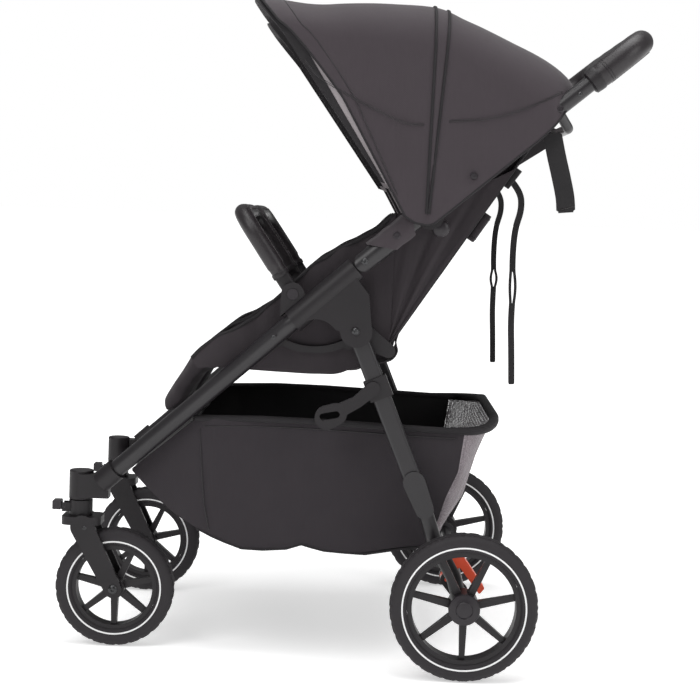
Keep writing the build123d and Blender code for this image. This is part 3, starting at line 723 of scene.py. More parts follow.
def hoods():
    ts = np.unique(np.r_[np.linspace(0, 0.5, 22), np.linspace(0.5, 1, 26), 0.47, 0.48, 0.49, 0.51,
                         0.52])
    vs = np.linspace(0, 1, 65)
    points = hood_sag(hood_grid(ts, vs), ts, vs)
    for j, v in enumerate(vs):
        for i, t in enumerate(ts):
            if t > 0.9:
                points[i, j] = hood_point(0.9 + (t - 0.9) * (hood_front(v) - 0.9) / 0.1, v)
    bend = ("handle_frame", "canopy_{side}", (HUB_X, -167, HUB_Z + 300),
            (HUB_X - 134, -167, HUB_Z + 300))
    hood = pair("hood_cloth", cloth(points, 1.6, face=1), HOOD_CLOTH, None, "fabric",
         ["canopy_front_{side}", "canopy_rear_{side}"], bend=bend, crease=50, inside=LINING)
    # twin zip ridges over the middle bow
    for name, t in (("zip_ridge_front", 0.522), ("zip_ridge_rear", 0.478)):
        line = even([hood_point(t, v, -1.0) for v in np.linspace(0.015, 0.985, 160)], 150)
        pair(name, sweep(line, ring(2.4, 10), (1, 0, 0)), BINDING, None, "webbing", bend=bend)
    # bindings of the hems
    edges = {
        "hood_front_piping": even([hood_point(hood_front(v), v) for v in np.linspace(0, 1, 160)],
                                  150),
        "hood_rear_piping": even([hood_point(0.0, v) for v in np.linspace(0, 1, 160)], 150)}
    for name, line in edges.items():
        pair(name, sweep(line, ring(1.9, 10), (1, 0, 0)), BINDING, None, "webbing", bend=bend)
    hem_line = even([hood_point(hood_front(v) - 0.045, v, -0.9)
                     for v in np.linspace(0.03, 0.97, 160)], 150)
    pair("hood_front_stitch", sweep(hem_line, ring(0.55, 6), (1, 0, 0)), SEAM, None, "fabric",
         bend=bend)
    inner_ts, inner_vs = np.linspace(0.88, 0.985, 9), np.linspace(0.04, 0.96, 65)
    lining = np.array([[hood_point(t, v, 5.0) for v in inner_vs] for t in inner_ts])
    visor = pair("visor_lining", cloth(lining, 1.0), LINING, None, "fabric", bend=bend, crease=60)
    band = np.array([[hood_point(t, v, 4.4) for v in inner_vs]
                     for t in np.linspace(0.968, 1.0, 5)])
    edge = pair("visor_band", cloth(band, 2.4), BINDING, None, "webbing", bend=bend, crease=60)
    declared(visor, lining, "stretched", ["hood_cloth_{side}"])
    declared(edge, band, "stretched", ["visor_lining_{side}"])
    hems = [even([hood_point(t, v) for t in np.linspace(0, 1, 60)], 60) for v in (0.0, 1.0)]
    hem = pair("hood_apex_hem", merged(*(sweep(h, ring(1.7, 10), (0, 1, 0)) for h in hems)),
               BINDING, None, "webbing", bend=bend)
    declared(hood, points, "stretched", ["canopy_mounts"], hem)


hoods()


# ---------------------------------------------------------------- stuffed pads
def stuffed(points, faces, swell=7.0, voxel=6.0, pressure=4.0):
    """Inflates a closed low shape with the cloth solver. Millimetres in and out."""
    data = bpy.data.meshes.new("pad_start")
    data.from_pydata((np.asarray(points) / 1000).tolist(), [], faces)
    pad = bpy.data.objects.new("pad_start", data)
    scene = bpy.context.scene
    scene.collection.objects.link(pad)
    remesh = pad.modifiers.new("voxels", "REMESH")
    remesh.mode, remesh.voxel_size = "VOXEL", voxel / 1000
    graph = bpy.context.evaluated_depsgraph_get()
    pad.data = bpy.data.meshes.new_from_object(pad.evaluated_get(graph))
    pad.modifiers.clear()
    count = len(pad.data.vertices)
    start = np.empty(count * 3)
    pad.data.vertices.foreach_get("co", start)
    start = start.reshape(-1, 3)
    cover = pad.modifiers.new("cover", "CLOTH")
    cover.settings.use_pressure = True
    cover.settings.uniform_pressure_force = pressure
    cover.settings.effector_weights.gravity = 0.0
    cover.point_cache.frame_start, cover.point_cache.frame_end = 1, 20
    for step in range(1, 21):
        scene.frame_set(step)
    made = pad.evaluated_get(bpy.context.evaluated_depsgraph_get())
    swollen = np.empty(count * 3)
    made.data.vertices.foreach_get("co", swollen)
    move = swollen.reshape(-1, 3) - start
    far = np.linalg.norm(move, axis=1, keepdims=True)
    move *= np.minimum(1.0, swell / 1000 / np.maximum(far, 1e-9))
    pad.modifiers.clear()
    pad.data.vertices.foreach_set("co", (start + move).ravel())
    scene.frame_set(1)
    relax = pad.modifiers.new("relax", "SMOOTH")
    relax.iterations = 3
    pad.modifiers.new("finer", "SUBSURF").levels = 1
    graph = bpy.context.evaluated_depsgraph_get()
    final = bpy.data.meshes.new_from_object(pad.evaluated_get(graph))
    verts = np.empty(len(final.vertices) * 3)
    final.vertices.foreach_get("co", verts)
    out = verts.reshape(-1, 3) * 1000, [tuple(p.vertices) for p in final.polygons]
    bpy.data.objects.remove(pad)
    return out


def block(outline, y_a, y_b, ease=6.0):
    """Closed prism across the seat from an (x, z) outline, its two ends drawn in a little."""
    outline = np.asarray(outline, float)
    middle = outline.mean(0)
    small = middle + (outline - middle) * (1 - ease / np.abs(outline - middle).max())
    levels = [(y_a, small), (y_a - math.copysign(ease, y_a - y_b), outline),
              (y_b + math.copysign(ease, y_a - y_b), outline), (y_b, small)]
    verts = [(x, y, z) for y, ring_points in levels for x, z in ring_points]
    n = len(outline)
    faces = quads(4, n, close_n=True) + [tuple(range(n))[::-1], tuple(range(3 * n, 4 * n))]
    area = sum(a[0] * b[1] - b[0] * a[1] for a, b in zip(outline, np.roll(outline, -1, axis=0)))
    if area > 0:
        faces = [tuple(reversed(f)) for f in faces]
    return verts, faces


BACK = np.array([-130.0, 503.0])
BACK_U = np.array([math.cos(math.radians(56.7)), math.sin(math.radians(56.7))])
BACK_N = np.array([-BACK_U[1], BACK_U[0]])


def on_back(s, off):
    return BACK + BACK_U * s + BACK_N * off


def pressed(mesh, lines, depth, width):
    """Pushes sewn channels into a pad along straight (point, direction) lines."""
    verts, faces = mesh
    verts = verts.copy()
    for start, end, inward in lines:
        a, b, inward = (np.asarray(q, float) for q in (start, end, inward))
        t = np.clip(((verts - a) @ (b - a)) / ((b - a) @ (b - a)), 0, 1)[:, None]
        away = verts - (a + (b - a) * t)
        away -= np.outer(away @ inward, inward)
        far = np.linalg.norm(away, axis=1)
        near = np.abs((verts - a) @ inward) < 16
        verts += np.outer(np.exp(-(far / width) ** 2) * near * depth, inward)
    return verts, faces


def pads():
    seat_outline = [(-396, 474), (-398, 492), (-384, 499), (-330, 497), (-240, 494), (-162, 494),
                    (-158, 472), (-240, 470), (-330, 472)]
    cushion = stuffed(*block(seat_outline, -60, -258, 8), swell=7)
    down = (0, 0, -1)
    lines = [((-330, -80, 503), (-330, -240, 503), down),
             ((-255, -80, 501), (-255, -240, 501), down),
             ((-380, -95, 503), (-170, -95, 500), down),
             ((-380, -223, 503), (-170, -223, 500), down)]
    cushion = pressed(cushion, lines, 4.0, 4.5)
    cushions = pair("seat_cushion", cushion, SEAT_CLOTH, "front_frame", "fabric", ["seat_{side}"],
                   crease=60)
    back_outline = [on_back(*q) for q in ((46, 12), (44, 26), (60, 31), (200, 32), (370, 31),
                                          (392, 24), (394, 12), (380, 9), (200, 8), (70, 8))]
    cushion = stuffed(*block(back_outline, -60, -258, 8), swell=7)
    inward = -np.array([BACK_N[0], 0, BACK_N[1]])
    across = lambda s, off, y: (on_back(s, off)[0], y, on_back(s, off)[1])
    lines = [(across(s, 38, -90), across(s, 38, -228), inward) for s in (130, 215, 300)]
    lines += [(across(60, 38, y), across(380, 38, y), inward) for y in (-92, -226)]
    cushion = pressed(cushion, lines, 4.0, 4.5)
    cushions += pair("back_cushion", cushion, SEAT_CLOTH, "seat_back_{side}", "fabric",
                    ["seat_back_{side}"], crease=60)
    calf = [(-398, 488), (-420, 490), (-440, 478), (-455, 452), (-474, 422), (-490, 394),
            (-488, 384), (-476, 382),
            (-462, 400), (-446, 428), (-430, 452), (-412, 462), (-396, 466)]
    cushion = stuffed(*block(calf, -56, -222, 6), swell=5)
    cushions += pair("calf_cushion", cushion, SEAT_CLOTH, "calf_rest_{side}", "fabric",
                    ["calf_rest_{side}"], crease=60)


pads()


# ---------------------------------------------------------------- seat side cloth
WING_TOP = [(-440, 478), (-410, 507), (-351, 540), (-303, 582), (-256, 629), (-208, 660),
            (-162, 685), (-126, 716)]
WING_LOW = [(-430, 464), (-398, 466), (-352, 464), (-300, 462), (-240, 461), (-198, 466),
            (-150, 500), (-128, 520)]


def wing_grid(y, out):
    top, low = smooth(WING_TOP, 60), smooth(WING_LOW, 60)
    rows = np.linspace(0, 1, 20)
    grid = np.zeros((60, 20, 3))
    for i in range(60):
        for j, r in enumerate(rows):
            x, z = low[i] * (1 - r) + top[i] * r
            gather = math.sin(i * 0.85 + 2.2 * r) * 0.9 + math.sin(i * 0.37 - 3.1 * r + 1.3) * 1.1
            puff = 2.2 * math.sin(math.pi * r)
            grid[i, j] = (x, y + out * (puff * 0.5 + gather * (0.35 + 0.65 * r)),
                          z + (1.4 * math.sin(i * 0.9) if j == 19 else 0))
    return grid


def gusset_grid():
    front = smooth([(-136, 508), (-134, 545), (-134, 600), (-134, 655), (-136, 712)], 40)
    rear = smooth([on_back(s, 3) for s in (14, 90, 180, 270, 345)], 40)
    grid = np.zeros((30, 40, 3))
    for i, u in enumerate(np.linspace(0, 1, 30)):
        for j in range(40):
            r = j / 39
            x, z = front[j] * (1 - u) + rear[j] * u
            swell = math.sin(math.pi * u)
            grows = 0.35 + 0.65 * math.sin(math.pi * min(1, r * 1.15))
            fold = math.sin(u * 17 + r * 1.6) * 3.0 * swell * grows
            fine = math.sin(u * 41 - r * 5) * 0.7 * swell
            grid[i, j] = (x, -267 + 6 * swell * (1 - r) * 0.5 + fold + fine,
                          z - 6 * swell * (r > 0.98))
    return grid


def seat_sides():
    outer = wing_grid(-269.0, -1)[::-1]
    inner = wing_grid(-49.0, 1)
    made = pair("seat_side_cloth", cloth(outer, 2.6), SEAT_CLOTH, "front_frame", "fabric",
                crease=60)
    declared(made, outer, "stretched", ["front_leg_{side}", "handle_tube_{side}"])
    made = pair("seat_inner_cloth", cloth(inner, 2.6), SEAT_CLOTH, "front_frame", "fabric",
                crease=60)
    declared(made, inner, "stretched", ["cross_tubes"])
    for name, y in (("seat_side_piping", -269.5), ("seat_inner_piping", -48.5)):
        line = np.insert(smooth(WING_TOP, 90), 1, y, axis=1)
        line[:, 1] += np.sin(np.arange(90) * 0.5) * 0.8
        line[:, 2] += 1.0 + np.sin(np.arange(90) * 0.6) * 0.8
        pair(name, sweep(line, ring(2.8, 10)), BINDING, "front_frame", "webbing")
    grid = gusset_grid()[::-1]
    bend = ("front_frame", "seat_back_{side}", (-106, -160, 600), (-58, -160, 600))
    made = pair("gusset_cloth", cloth(grid, 1.8), SEAT_CLOTH, None, "fabric", bend=bend, crease=60)
    declared(made, grid, "gathered", ["seat_back_{side}"])
    inner_gusset = gusset_grid() * (1, -1, 1) + (0, -316, 0)
    inner_gusset[:, :, 1] = -51 + (inner_gusset[:, :, 1] + 49) * 0.6
    made = pair("gusset_inner_cloth", cloth(inner_gusset, 1.8), SEAT_CLOTH, None, "fabric",
                bend=bend, crease=60)
    declared(made, inner_gusset, "gathered", ["seat_back_{side}"])


seat_sides()


def back_cover():
    """Cloth panel across the rear of the back, with bound edges."""
    s_line, y_line = np.linspace(16, 398, 44), np.linspace(-263.5, -54.5, 26)
    grid = np.zeros((44, 26, 3))
    for i, s in enumerate(s_line):
        for j, y in enumerate(y_line):
            u = (j / 25 - 0.5) * 2
            top = max(0.0, (s - 372) / 26)
            hollow = 3.5 * (1 - u * u) * math.sin(math.pi * i / 43)
            ripple = math.sin(s * 0.045 + 2.4 * u) * 0.9
            off = 4.0 - hollow + ripple + top**2 * 12
            x, z = on_back(s, off - 1.5)
            grid[i, j] = (x, y, z)
    made = pair("back_cover", cloth(grid, 2.0), SEAT_CLOTH, "seat_back_{side}", "fabric",
                crease=60)
    declared(made, grid, "stretched", ["seat_back_{side}"])
    edge = []
    for y in (-263.5, -54.5):
        line = smooth([(*on_back(s, 3), y) for s in (18, 120, 240, 340, 392)], 60)[:, [0, 2, 1]]
        edge.append(sweep(line, ring(2.4, 10)))
    pair("back_piping", merged(*edge), BINDING, "seat_back_{side}", "webbing")


back_cover()


def seat_join():
    """Cloth that closes the corner between the seat and the back, under the recline rod."""
    line = smooth([(-172, 481), (-155, 478), (-138, 482), (-122, 488), (-115, 500), (-118, 514),
                   on_back(40, 5)], 30)
    grid = np.array([[(x, y, z + 0.8 * math.sin(0.12 * y + 0.4 * i))
                      for y in np.linspace(-258, -60, 24)]
                     for i, (x, z) in enumerate(line)])
    bend = ("front_frame", "seat_back_{side}", (-150, -160, 484), (-112, -160, 512))
    made = pair("seat_join", cloth(grid, 1.6), SEAT_CLOTH, None, "fabric", bend=bend, crease=60)
    declared(made, grid, "stretched", ["seat_back_{side}"])


seat_join()


# ---------------------------------------------------------------- basket
BASKET_HALF = 267.0
BASKET_LOW = [(-535, 289), (-500, 256), (-467, 229), (-425, 206), (-381, 188), (-352, 178),
              (-318, 177), (-281, 180),
              (-257, 188), (-238, 183), (-220, 179), (-185, 177), (-155, 176), (-100, 186),
              (-62, 191), (-46, 193)]
BASKET_TOP = [(-535, 293), (-500, 323), (-430, 382), (-330, 386), (-238, 385), (-97, 380),
              (-50, 377), (-4, 377)]
BASKET_REAR = [(46, 387), (24, 332), (6, 264), (-44, 193)]
CORNER_REACH = 125.0
SIDE_CUT = [(-4, 377), (-12, 313), (-30, 272), (-42, 232), (-46, 193)]


def half_width(x):
    return BASKET_HALF if x > -400 else BASKET_HALF - (-400 - x) / 160 * 54


def basket_side():
    top, low = even(BASKET_TOP, 90), even(BASKET_LOW, 90)
    cut = even(SIDE_CUT, 30)[::-1]
    grid = np.zeros((90, 30, 3))
    for i in range(90):
        for j, r in enumerate(np.linspace(0, 1, 30)):
            x, z = low[i] * (1 - r) + top[i] * r
            tail = max(0.0, (i - 60) / 29)
            x, z = np.array([x, z]) * (1 - tail**2) + (cut[j] + np.array([(i - 89) * 5.4,
                                                                          0])) * tail**2
            billow = 2.6 * math.sin(math.pi * r) * math.sin(math.pi * min(1, i / 80))
            crease = 1.3 * math.sin(0.11 * i + 5
                                    * r) * math.sin(0.05 * i) + 0.9 * math.sin(0.42 * i + 2.0
                                                                               * r) * (1 - r) ** 2
            grid[i, j] = (x, -(half_width(x) + billow + crease
                               * (0.4 + 0.6 * math.sin(math.pi * r))), z)
    return grid


def basket_belt():
    """Front wall, floor and the low part of the rear, in one strip."""
    path = np.vstack([even([(-430, 382), (-535, 291)], 16), even(BASKET_LOW, 64)[1:]])
    grid = np.zeros((len(path), 33, 3))
    for i, (x, z) in enumerate(path):
        h = half_width(x) - 0.5
        for j, u in enumerate(np.linspace(-1, 1, 33)):
            sag = 3.0 * (1 - u * u) * math.sin(math.pi * i / (len(path) - 1))
            grid[i, j] = (x, h * u, z - sag * (i > 15) + 1.2 * math.sin(0.9 * j + 0.2 * i)
                          * (1 - u * u))
    return grid


def rear_corner(x_side, x_rear, z, count):
    """The basket's rear corner seen from above, a quarter of a long oval."""
    return np.array([(x_side + (x_rear - x_side) * math.sin(a),
                      -BASKET_HALF + CORNER_REACH * (1 - math.cos(a)), z)
                     for a in np.linspace(0, math.pi / 2, count)])


def basket_mesh_wall():
    rear, cut = even(BASKET_REAR, 26), even(SIDE_CUT, 26)
    grid = np.zeros((26, 111, 3))
    for i in range(26):
        (rx, rz), (cx, cz) = rear[i], cut[i]
        turn = rear_corner(cx, rx, cz, 24)
        half = np.vstack([turn, np.linspace((rx, turn[-1][1], 0), (rx, 0, 0), 38)[1:]]) * (1, 1, 0)
        line = even(np.vstack([half, (half * (1, -1, 1))[-2::-1]]), 111)
        for j, (x, y, _) in enumerate(line):
            share = np.clip((x - cx) / max(rx - cx, 1e-6), 0, 1)
            pleat = math.sin(j * 0.95 + 0.12 * i) * 1.6 * math.sin(math.pi * i / 25) * share
            grid[i, j] = (x - 4.0 * math.sin(math.pi * i / 25) * share + pleat, y,
                          cz + (rz - cz) * share)
    return grid


def basket():
    side = basket_side()
    made = pair("basket_side", cloth(side, 2.0), BASKET_CLOTH, "front_frame", "fabric", crease=60,
                inside=BASKET_LINING)
    declared(made, side, "hung", ["basket_binding"])
    belt, wall = basket_belt(), basket_mesh_wall()
    floor = piece("basket_floor", cloth(belt, 2.0), BASKET_LINING, "front_frame", "fabric",
                  ["basket"], crease=60)
    declared([floor], belt, "hung", ["basket_side_left"])
    rear = piece("basket_rear_mesh", cloth(wall, 0.9), MESH, "front_frame", "fabric", crease=60)
    declared([rear], wall, "stretched", ["basket_binding"])
    y = BASKET_HALF + 1
    corner = rear_corner(-6, 50, 378, 24)
    corner[:, 2] += 11 * np.linspace(0, 1, 24) ** 2
    left = np.vstack([[(-432, -y + 8, 383), (-330, -y - 1, 386), (-238, -y - 1, 385),
                       (-97, -y - 1, 380), (-40, -y, 378)], corner])
    mouth = even(np.vstack([left, (left * (1, -1, 1))[::-1]]), 320)
    thick = 1 + 0.55 * np.clip((mouth[:, 0] + 40) / 80, 0, 1)
    piece("basket_binding", sweep(mouth, ring(5.2, 14), (0, 0, 1), scale=thick), BINDING,
          "front_frame", "webbing", ["basket_rim"])
    front = rounded([(-432, -y + 8, 383), (-436, -y + 30, 384), (-436, y - 30, 384),
                     (-432, y - 8, 383)], 14, 6)
    piece("basket_front_binding", sweep(front, ring(4.0, 12), (0, 0, 1)), BINDING, "front_frame",
          "webbing")
    low = even(BASKET_LOW[3:], 120)
    hem = np.array([(x, -half_width(x) - 0.4, z - 0.6) for x, z in low])
    pair("basket_hem", sweep(hem, ring(1.9, 10), (0, 0, 1)), BINDING, "front_frame", "webbing")
    seams = []
    for line in ([(-424, 366), (-419, 300), (-414, 250), (-405, 205)],
                 [(-418, 371), (-330, 374), (-238, 373), (-97, 368), (-16, 366)]):
        points = smooth(line, 70)
        seams.append(sweep(np.array([(x, -half_width(x) - 2.1 - 1.9
                                      * math.sin(math.pi * np.clip((z - 190) / 190, 0, 1)), z)
                                     for x, z in points]),
                           ring(0.75, 8), (0, 0, 1)))
    pair("basket_seams", merged(*seams), SEAM, "front_frame", "fabric")
    clip = lathe([(0, 5.4), (1, 6.2), (9, 6.2), (10, 5), (24, 4.6), (27, 4.6)],
                 (-119, -268.5, 380), (0, -1, 0), 20)
    pair("basket_clip", clip, GRAINED_NYLON, "front_frame", "plastic")


basket()


# ---------------------------------------------------------------- bumper bars and handle grip
def on_line(origin, angle, s, off=0.0):
    a = math.radians(angle)
    return (origin[0] + s * math.cos(a) - off * math.sin(a),
            origin[1] + s * math.sin(a) + off * math.cos(a))


def laced(path, radius, towards, pitch=5.0, width=3.4):
    """Zigzag lacing over the joint of a leather sleeve, on the side that faces towards."""
    length = np.linalg.norm(np.diff(path, axis=0), axis=1).sum()
    line = even(path, int(length / (pitch / 2)))
    tangent, _, _ = frames(line)
    facing = np.asarray(towards, float)
    facing = facing - tangent * (tangent @ facing)[:, None]
    facing /= np.linalg.norm(facing, axis=1, keepdims=True)
    side = np.cross(tangent, facing)
    swing = np.where(np.arange(len(line)) % 2, 1, -1)[:, None] * width / 2
    out = line + facing * math.sqrt(radius**2 - (width / 2) ** 2) + side * swing + facing * 0.3
    return sweep(even(out, len(out) * 3), ring(0.55, 6), (0, 1, 0))


BAR = (-282.0, 587.0)
BAR_ANGLE, BAR_LEN, BAR_R = 124.5, 150.5, 13.5


def bumper_bars():
    def bar_at(s, y, off=0.0):
        x, z = on_line(BAR, BAR_ANGLE, s, off)
        return (x, y, z)
    path = rounded([bar_at(40, -288), bar_at(BAR_LEN, -288), bar_at(BAR_LEN, -30),
                    bar_at(40, -30)], 48, 4)
    n = len(path)
    swell = np.ones(n)
    swell[:3] = swell[-3:] = 0.93
    swell += 0.012 * np.sin(np.arange(n) * 0.31)
    pair("bumper_sleeve", sweep(path, ring(BAR_R, 26), (0, 0, 1), scale=swell), LEATHER,
         "bumper_bar_{side}", "leatherette", ["bumper_bar_{side}"], crease=50)
    lean = math.radians(BAR_ANGLE - 90)
    towards = (math.cos(lean), 0, math.sin(lean))
    pair("bumper_lacing", laced(path[3:-3], BAR_R, towards), THREAD, "bumper_bar_{side}",
         "leatherette")
    lugs = []
    for y_a, y_b in ((-296, -280), (-34, -14)):
        x0, z0 = BAR
        disc = [(0, 0.0), (0, 13.2), (1.2, 14.6), (abs(y_b - y_a) - 1.2, 14.6),
                (abs(y_b - y_a), 13.2), (abs(y_b - y_a), 0.0)]
        lugs.append(lathe(disc, (x0, y_b, z0), (0, -1, 0), 36))
        stem = rounded([bar_at(8, (y_a + y_b) / 2), bar_at(24, (y_a + y_b) / 2),
                        bar_at(44, -288 if y_a < -100 else -30)], 8, 3)
        w = abs(y_b - y_a) / 2 - 0.4
        section = np.array([(w * math.copysign(abs(math.cos(a)) ** 0.5, math.cos(a)),
                             12.0 * math.copysign(abs(math.sin(a)) ** 0.5, math.sin(a)))
                            for a in np.arange(20) * math.pi / 10])
        lugs.append(sweep(stem, section, (0, 1, 0)))
        collar = np.array([bar_at(s, -288 if y_a < -100 else -30) for s in (32, 34, 39, 41)])
        lugs.append(sweep(collar, ring(14.2, 26), (0, 1, 0), scale=[0.94, 1, 1, 0.94]))
    pair("bumper_lugs", merged(*lugs), GRAINED_NYLON, "bumper_bar_{side}", "plastic")


bumper_bars()

FOLD = (-172.0, 642.0)
HANDLE_ANGLE = 40.3


def handle_grip():
    def at(s, y, off=0.0):
        x, z = on_line(FOLD, HANDLE_ANGLE, s, off)
        return (x, y, z)
    path = rounded([at(452, -305), at(548, -305), at(548, 305), at(452, 305)], 52, 5)
    n = len(path)
    swell = 1 + 0.01 * np.sin(np.arange(n) * 0.23)
    swell[:2] = swell[-2:] = 0.95
    piece("grip_sleeve", sweep(path, ring(19.3, 30), (0, 0, 1), scale=swell), LEATHER,
          "handle_frame", "leatherette",
          ["handle_grip"], crease=50)
    towards = (math.sin(math.radians(HANDLE_ANGLE)), 0, -math.cos(math.radians(HANDLE_ANGLE)))
    piece("grip_lacing", laced(path[3:-3], 19.3, towards, 6.0, 4.0), THREAD, "handle_frame",
          "leatherette")
    bands = []
    for y in (-305, 305):
        cuff = np.array([at(s, y) for s in (440, 442, 452, 456, 458)])
        bands.append(sweep(cuff, ring(19.9, 30), (0, 1, 0), scale=[0.8, 0.95, 1.0, 1.0, 0.98]))
        for s in (470, 474):
            cuff = np.array([at(s + k, y) for k in (0, 0.5, 1.5, 2)])
            bands.append(sweep(cuff, ring(19.6, 30), (0, 1, 0), scale=[0.98, 1.01, 1.01, 0.98]))
    piece("grip_cuffs", merged(*bands), GRAINED_NYLON, "handle_frame", "plastic")


handle_grip()


# ---------------------------------------------------------------- hanging straps
STRAP = [(51.6, -210, 782), (72, -210, 762), (76, -210, 732), (66, -210, 700), (64, -210, 650),
         (67, -211, 600), (66, -209, 550), (69, -210, 500), (71, -210, 450)]


def spline_points(route):
    """Points read from the smooth line of a route."""
    data = bpy.data.curves.new("route", "CURVE")
    data.dimensions = "3D"
    line = data.splines.new("NURBS")
    line.points.add(len(route) - 1)
    for point, place in zip(line.points, route):
        point.co = (*place, 1)
    line.order_u, line.use_endpoint_u, line.resolution_u = 3, True, 16
    holder = bpy.data.objects.new("route", data)
    mesh = bpy.data.meshes.new_from_object(holder)
    points = np.array([v.co for v in mesh.vertices])
    bpy.data.objects.remove(holder)
    bpy.data.meshes.remove(mesh)
    return points


def ribbon(points, width, thick, slit=None, turn=None):
    """Flat webbing along a line, with a slit that opens into a loop."""
    count = len(points)
    tangent, _, _ = frames(points)
    face = np.tile((0.0, -1.0, 0.0), (count, 1))
    side = np.cross(tangent, face)
    side /= np.linalg.norm(side, axis=1, keepdims=True)
    face = np.cross(side, tangent)
    if turn is not None:
        c, s = np.cos(turn)[:, None], np.sin(turn)[:, None]
        side, face = side * c + face * s, face * c - side * s
    length = np.r_[0, np.cumsum(np.linalg.norm(np.diff(points, axis=0), axis=1))]
    offsets = np.array([-1, -0.5, -0.08, 0.08, 0.5, 1.0])
    grid = np.zeros((count, 6, 3))
    for i in range(count):
        spread = 0.0
        if slit and slit[0] < length[i] < slit[1]:
            spread = slit[2] * math.sin(math.pi * (length[i] - slit[0]) / (slit[1] - slit[0]))
        w = width / 2 * (1.0 if 3 < length[i] < length[-1] - 3 else 0.8)
        for j, k in enumerate(offsets):
            grid[i, j] = points[i] + side[i] * (k * w + math.copysign(spread, k)) 
    verts, faces, _ = cloth(grid, thick)
    if slit:
        opening = [i for i in range(count - 1)
                   if slit[0] < (length[i] + length[i + 1]) / 2 < slit[1]]
        gone = {i * 5 + 2 for i in opening} | {(count - 1) * 5 + i * 5 + 2 for i in opening}
        faces = [f for k, f in enumerate(faces) if k not in gone]
        for i in opening:
            for j, out in ((2, 1), (3, -1)):
                a, b = i * 6 + j, (i + 1) * 6 + j
                wall = (b, a, a + count * 6, b + count * 6)
                faces.append(wall if out > 0 else wall[::-1])
        for i, out in ((opening[0], 1), (opening[-1] + 1, -1)):
            a, b = i * 6 + 2, i * 6 + 3
            wall = (a, b, b + count * 6, a + count * 6)
            faces.append(wall[::-1] if out > 0 else wall)
    return verts, faces


def recline_straps():
    line = even(spline_points(STRAP), 110)
    for side, sign, slit in (("left", 1, (158, 208, 1.6)), ("right", -1, (170, 200, 2.6))):
        points = line * (1, sign, 1)
        turn = 0.14 * np.sin(np.arange(len(points)) * 0.09 + (0 if sign > 0 else 1.1))
        mesh = ribbon(points, 10.0, 2.0, slit, turn)
        made = piece(f"recline_webbing_{side}", mesh, WEBBING, f"seat_back_{side}", "webbing",
                     [f"recline_strap_{side}"], crease=60)
        row(*points[0])
        [row(*p) for p in points]


recline_straps()


# ---------------------------------------------------------------- hood seams, snaps and flaps
def hood_places():
    ts, vs = np.linspace(0, 1, 121), np.linspace(0.02, 0.5, 121)
    return [(t, v) for t in ts for v in vs], np.array([hood_point(t, v) for t in ts for v in vs])


HOOD_TV, HOOD_XYZ = hood_places()


def hood_at(x, z):
    """The (t, v) of the outer side panel that stands over a point of the side view."""
    far = (HOOD_XYZ[:, 0] - x) ** 2 + (HOOD_XYZ[:, 2] - z) ** 2 + 0.02 * (HOOD_XYZ[:, 1]
                                                                          + 327) ** 2
    return HOOD_TV[int(far.argmin())]


def hood_details():
    bend = ("handle_frame", "canopy_{side}", (HUB_X, -167, HUB_Z + 300),
            (HUB_X - 134, -167, HUB_Z + 300))
    seams = []
    for line in ([(-276, 941), (-238, 911), (-162, 871), (-120, 857), (-88, 852)],
                 [(-51, 858), (16, 868), (70, 886), (122, 910)]):
        places = smooth([hood_at(x, z) for x, z in line], 60)
        for flip in (False, True):
            for k in (0, 1):
                seams.append(sweep([hood_point(t, 1 - v if flip else v, -0.95) + (0, 0, 2.4 * k)
                                    for t, v in places],
                                   ring(0.5 - 0.1 * k, 8), (0, 1, 0)))
    pair("hood_seams", merged(*seams), SEAM, None, "fabric", bend=bend)
    snaps = []
    for x, z in ((119, 887), (-10, 779)):
        t, v = hood_at(x, z)
        px, py, pz = hood_point(t, v)
        snaps.append(snap_cap(px, py - 0.8, pz, 5.6))
    pair("hood_snaps", merged(*snaps), SATIN_NYLON, "handle_frame", "plastic")


hood_details()

TUBE_R = -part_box("handle_collar_left")[0].y * 1000 - 304.6


def tube_tab():
    """Cloth flap wrapped over the handle tube and closed with a snap."""
    grid = np.zeros((24, 22, 3))
    for j, phi in enumerate(np.linspace(-62, 118, 22)):
        a = math.radians(phi)
        dip = (1 - math.sin(min(a, math.pi / 2))) / 2
        low, high = 19 + 33 * dip, 104 - 18 * dip
        for i, s in enumerate(np.linspace(low, high, 24)):
            r = TUBE_R + 2.0 + 0.5 * math.sin(s * 0.21 + phi * 0.03) + (2.5 if phi > 95 else 0)
            x, z = on_line(FOLD, HANDLE_ANGLE, s, r * math.sin(a))
            grid[i, j] = (x, -305 - r * math.cos(a), z)
    made = pair("tube_flap", cloth(grid, 1.6), HOOD_CLOTH, "handle_frame", "fabric", crease=60)
    declared(made, grid, "laid", ["handle_tube_{side}"])
    pair("flap_snaps", snap_cap(-124, -305 - TUBE_R - 2.6, 684, 5.8), SATIN_NYLON, "handle_frame",
         "plastic")
    knob = lathe([(-30, 6), (0, 6), (0, 12.8), (2, 13.8), (6, 13.4), (9, 10.8), (10.4, 6),
                  (10.8, 0)], (-56, -296, 697), (0, -1, 0), 40)
    pair("hood_knob", knob, SATIN_NYLON, "handle_frame", "plastic")


tube_tab()


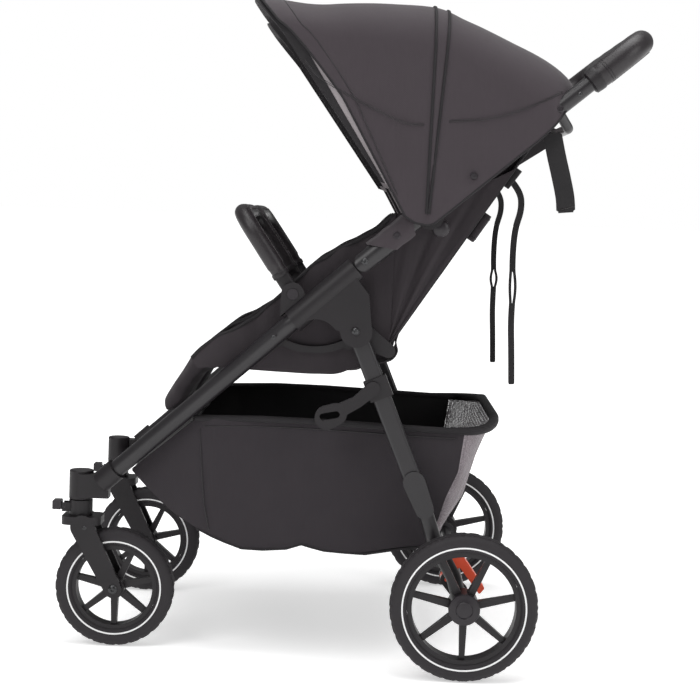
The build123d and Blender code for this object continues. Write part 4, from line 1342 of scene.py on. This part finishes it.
def recline_handle():
    """Cloth-wrapped pull behind the back, with the block that the strap leaves from."""
    path = [(*on_back(s, -9), 0) for s in np.linspace(217, 267, 12)]
    path = np.array([(x, -165, z) for x, z, _ in path])
    half, w, t = [], 32, 7.4
    for a in np.arange(28) * 2 * math.pi / 28:
        half.append((w * math.copysign(abs(math.cos(a)) ** 0.35, math.cos(a)),
                     t * math.copysign(abs(math.sin(a)) ** 0.45, math.sin(a))))
    swell = np.r_[0.9, 0.98, np.ones(8), 0.98, 0.9]
    pair("recline_pull", sweep(path, np.array(half), (0, 1, 0), scale=swell), SEAT_CLOTH,
         "seat_back_{side}", "fabric")
    seams = []
    for s in (223, 261):
        x, z = on_back(s, -9)
        rim = np.array([(x + BACK_N[0] * v * 1.02, -165 + u * 1.005, z + BACK_N[1] * v * 1.02)
                        for u, v in half + half[:1]])
        seams.append(sweep(rim, ring(0.6, 6), (0, 1, 0)))
    pair("recline_pull_seams", merged(*seams), SEAM, "seat_back_{side}", "fabric")
    block_path = np.array([(x, -210, z) for x,
                           z in (on_back(s, -5) for s in np.linspace(318, 352, 10))])
    half = [(16 * math.copysign(abs(math.cos(a)) ** 0.4, math.cos(a)),
             6.5 * math.copysign(abs(math.sin(a)) ** 0.5, math.sin(a)))
            for a in np.arange(24) * math.pi / 12]
    pair("strap_root",
         sweep(block_path, np.array(half), (0, 1, 0), scale=np.linspace(0.8, 1.0, 10)), WEBBING,
         "seat_back_{side}", "webbing")


recline_handle()


def tie_strap():
    low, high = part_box("tie_strap")
    y = (low.y + high.y) * 500
    line = smooth([(109, y, 849), (117, y - 0.6, 815), (126, y + 0.8, 782), (133, y, 752),
                   (135.5, y - 0.4, 728)], 60)
    verts, faces = ribbon(line, 29.0, 2.0)
    strap = piece("tie_webbing", (verts, faces), WEBBING, "handle_frame", "webbing",
                  ["tie_strap"], crease=60)
    rows = []
    for k in (20, 22, 56):
        x, yy, z = line[k]
        rows.append(sweep(np.array([(x + u, yy + s * 1.25, z + 0.26 * u)
                                    for u in np.linspace(-12.5, 12.5, 9)]), ring(0.5, 6),
                          (0, 1, 0))
                    for s in (-1, 1))
    piece("tie_stitches", merged(*(m for row_of in rows for m in row_of)), THREAD, "handle_frame",
          "webbing")


tie_strap()
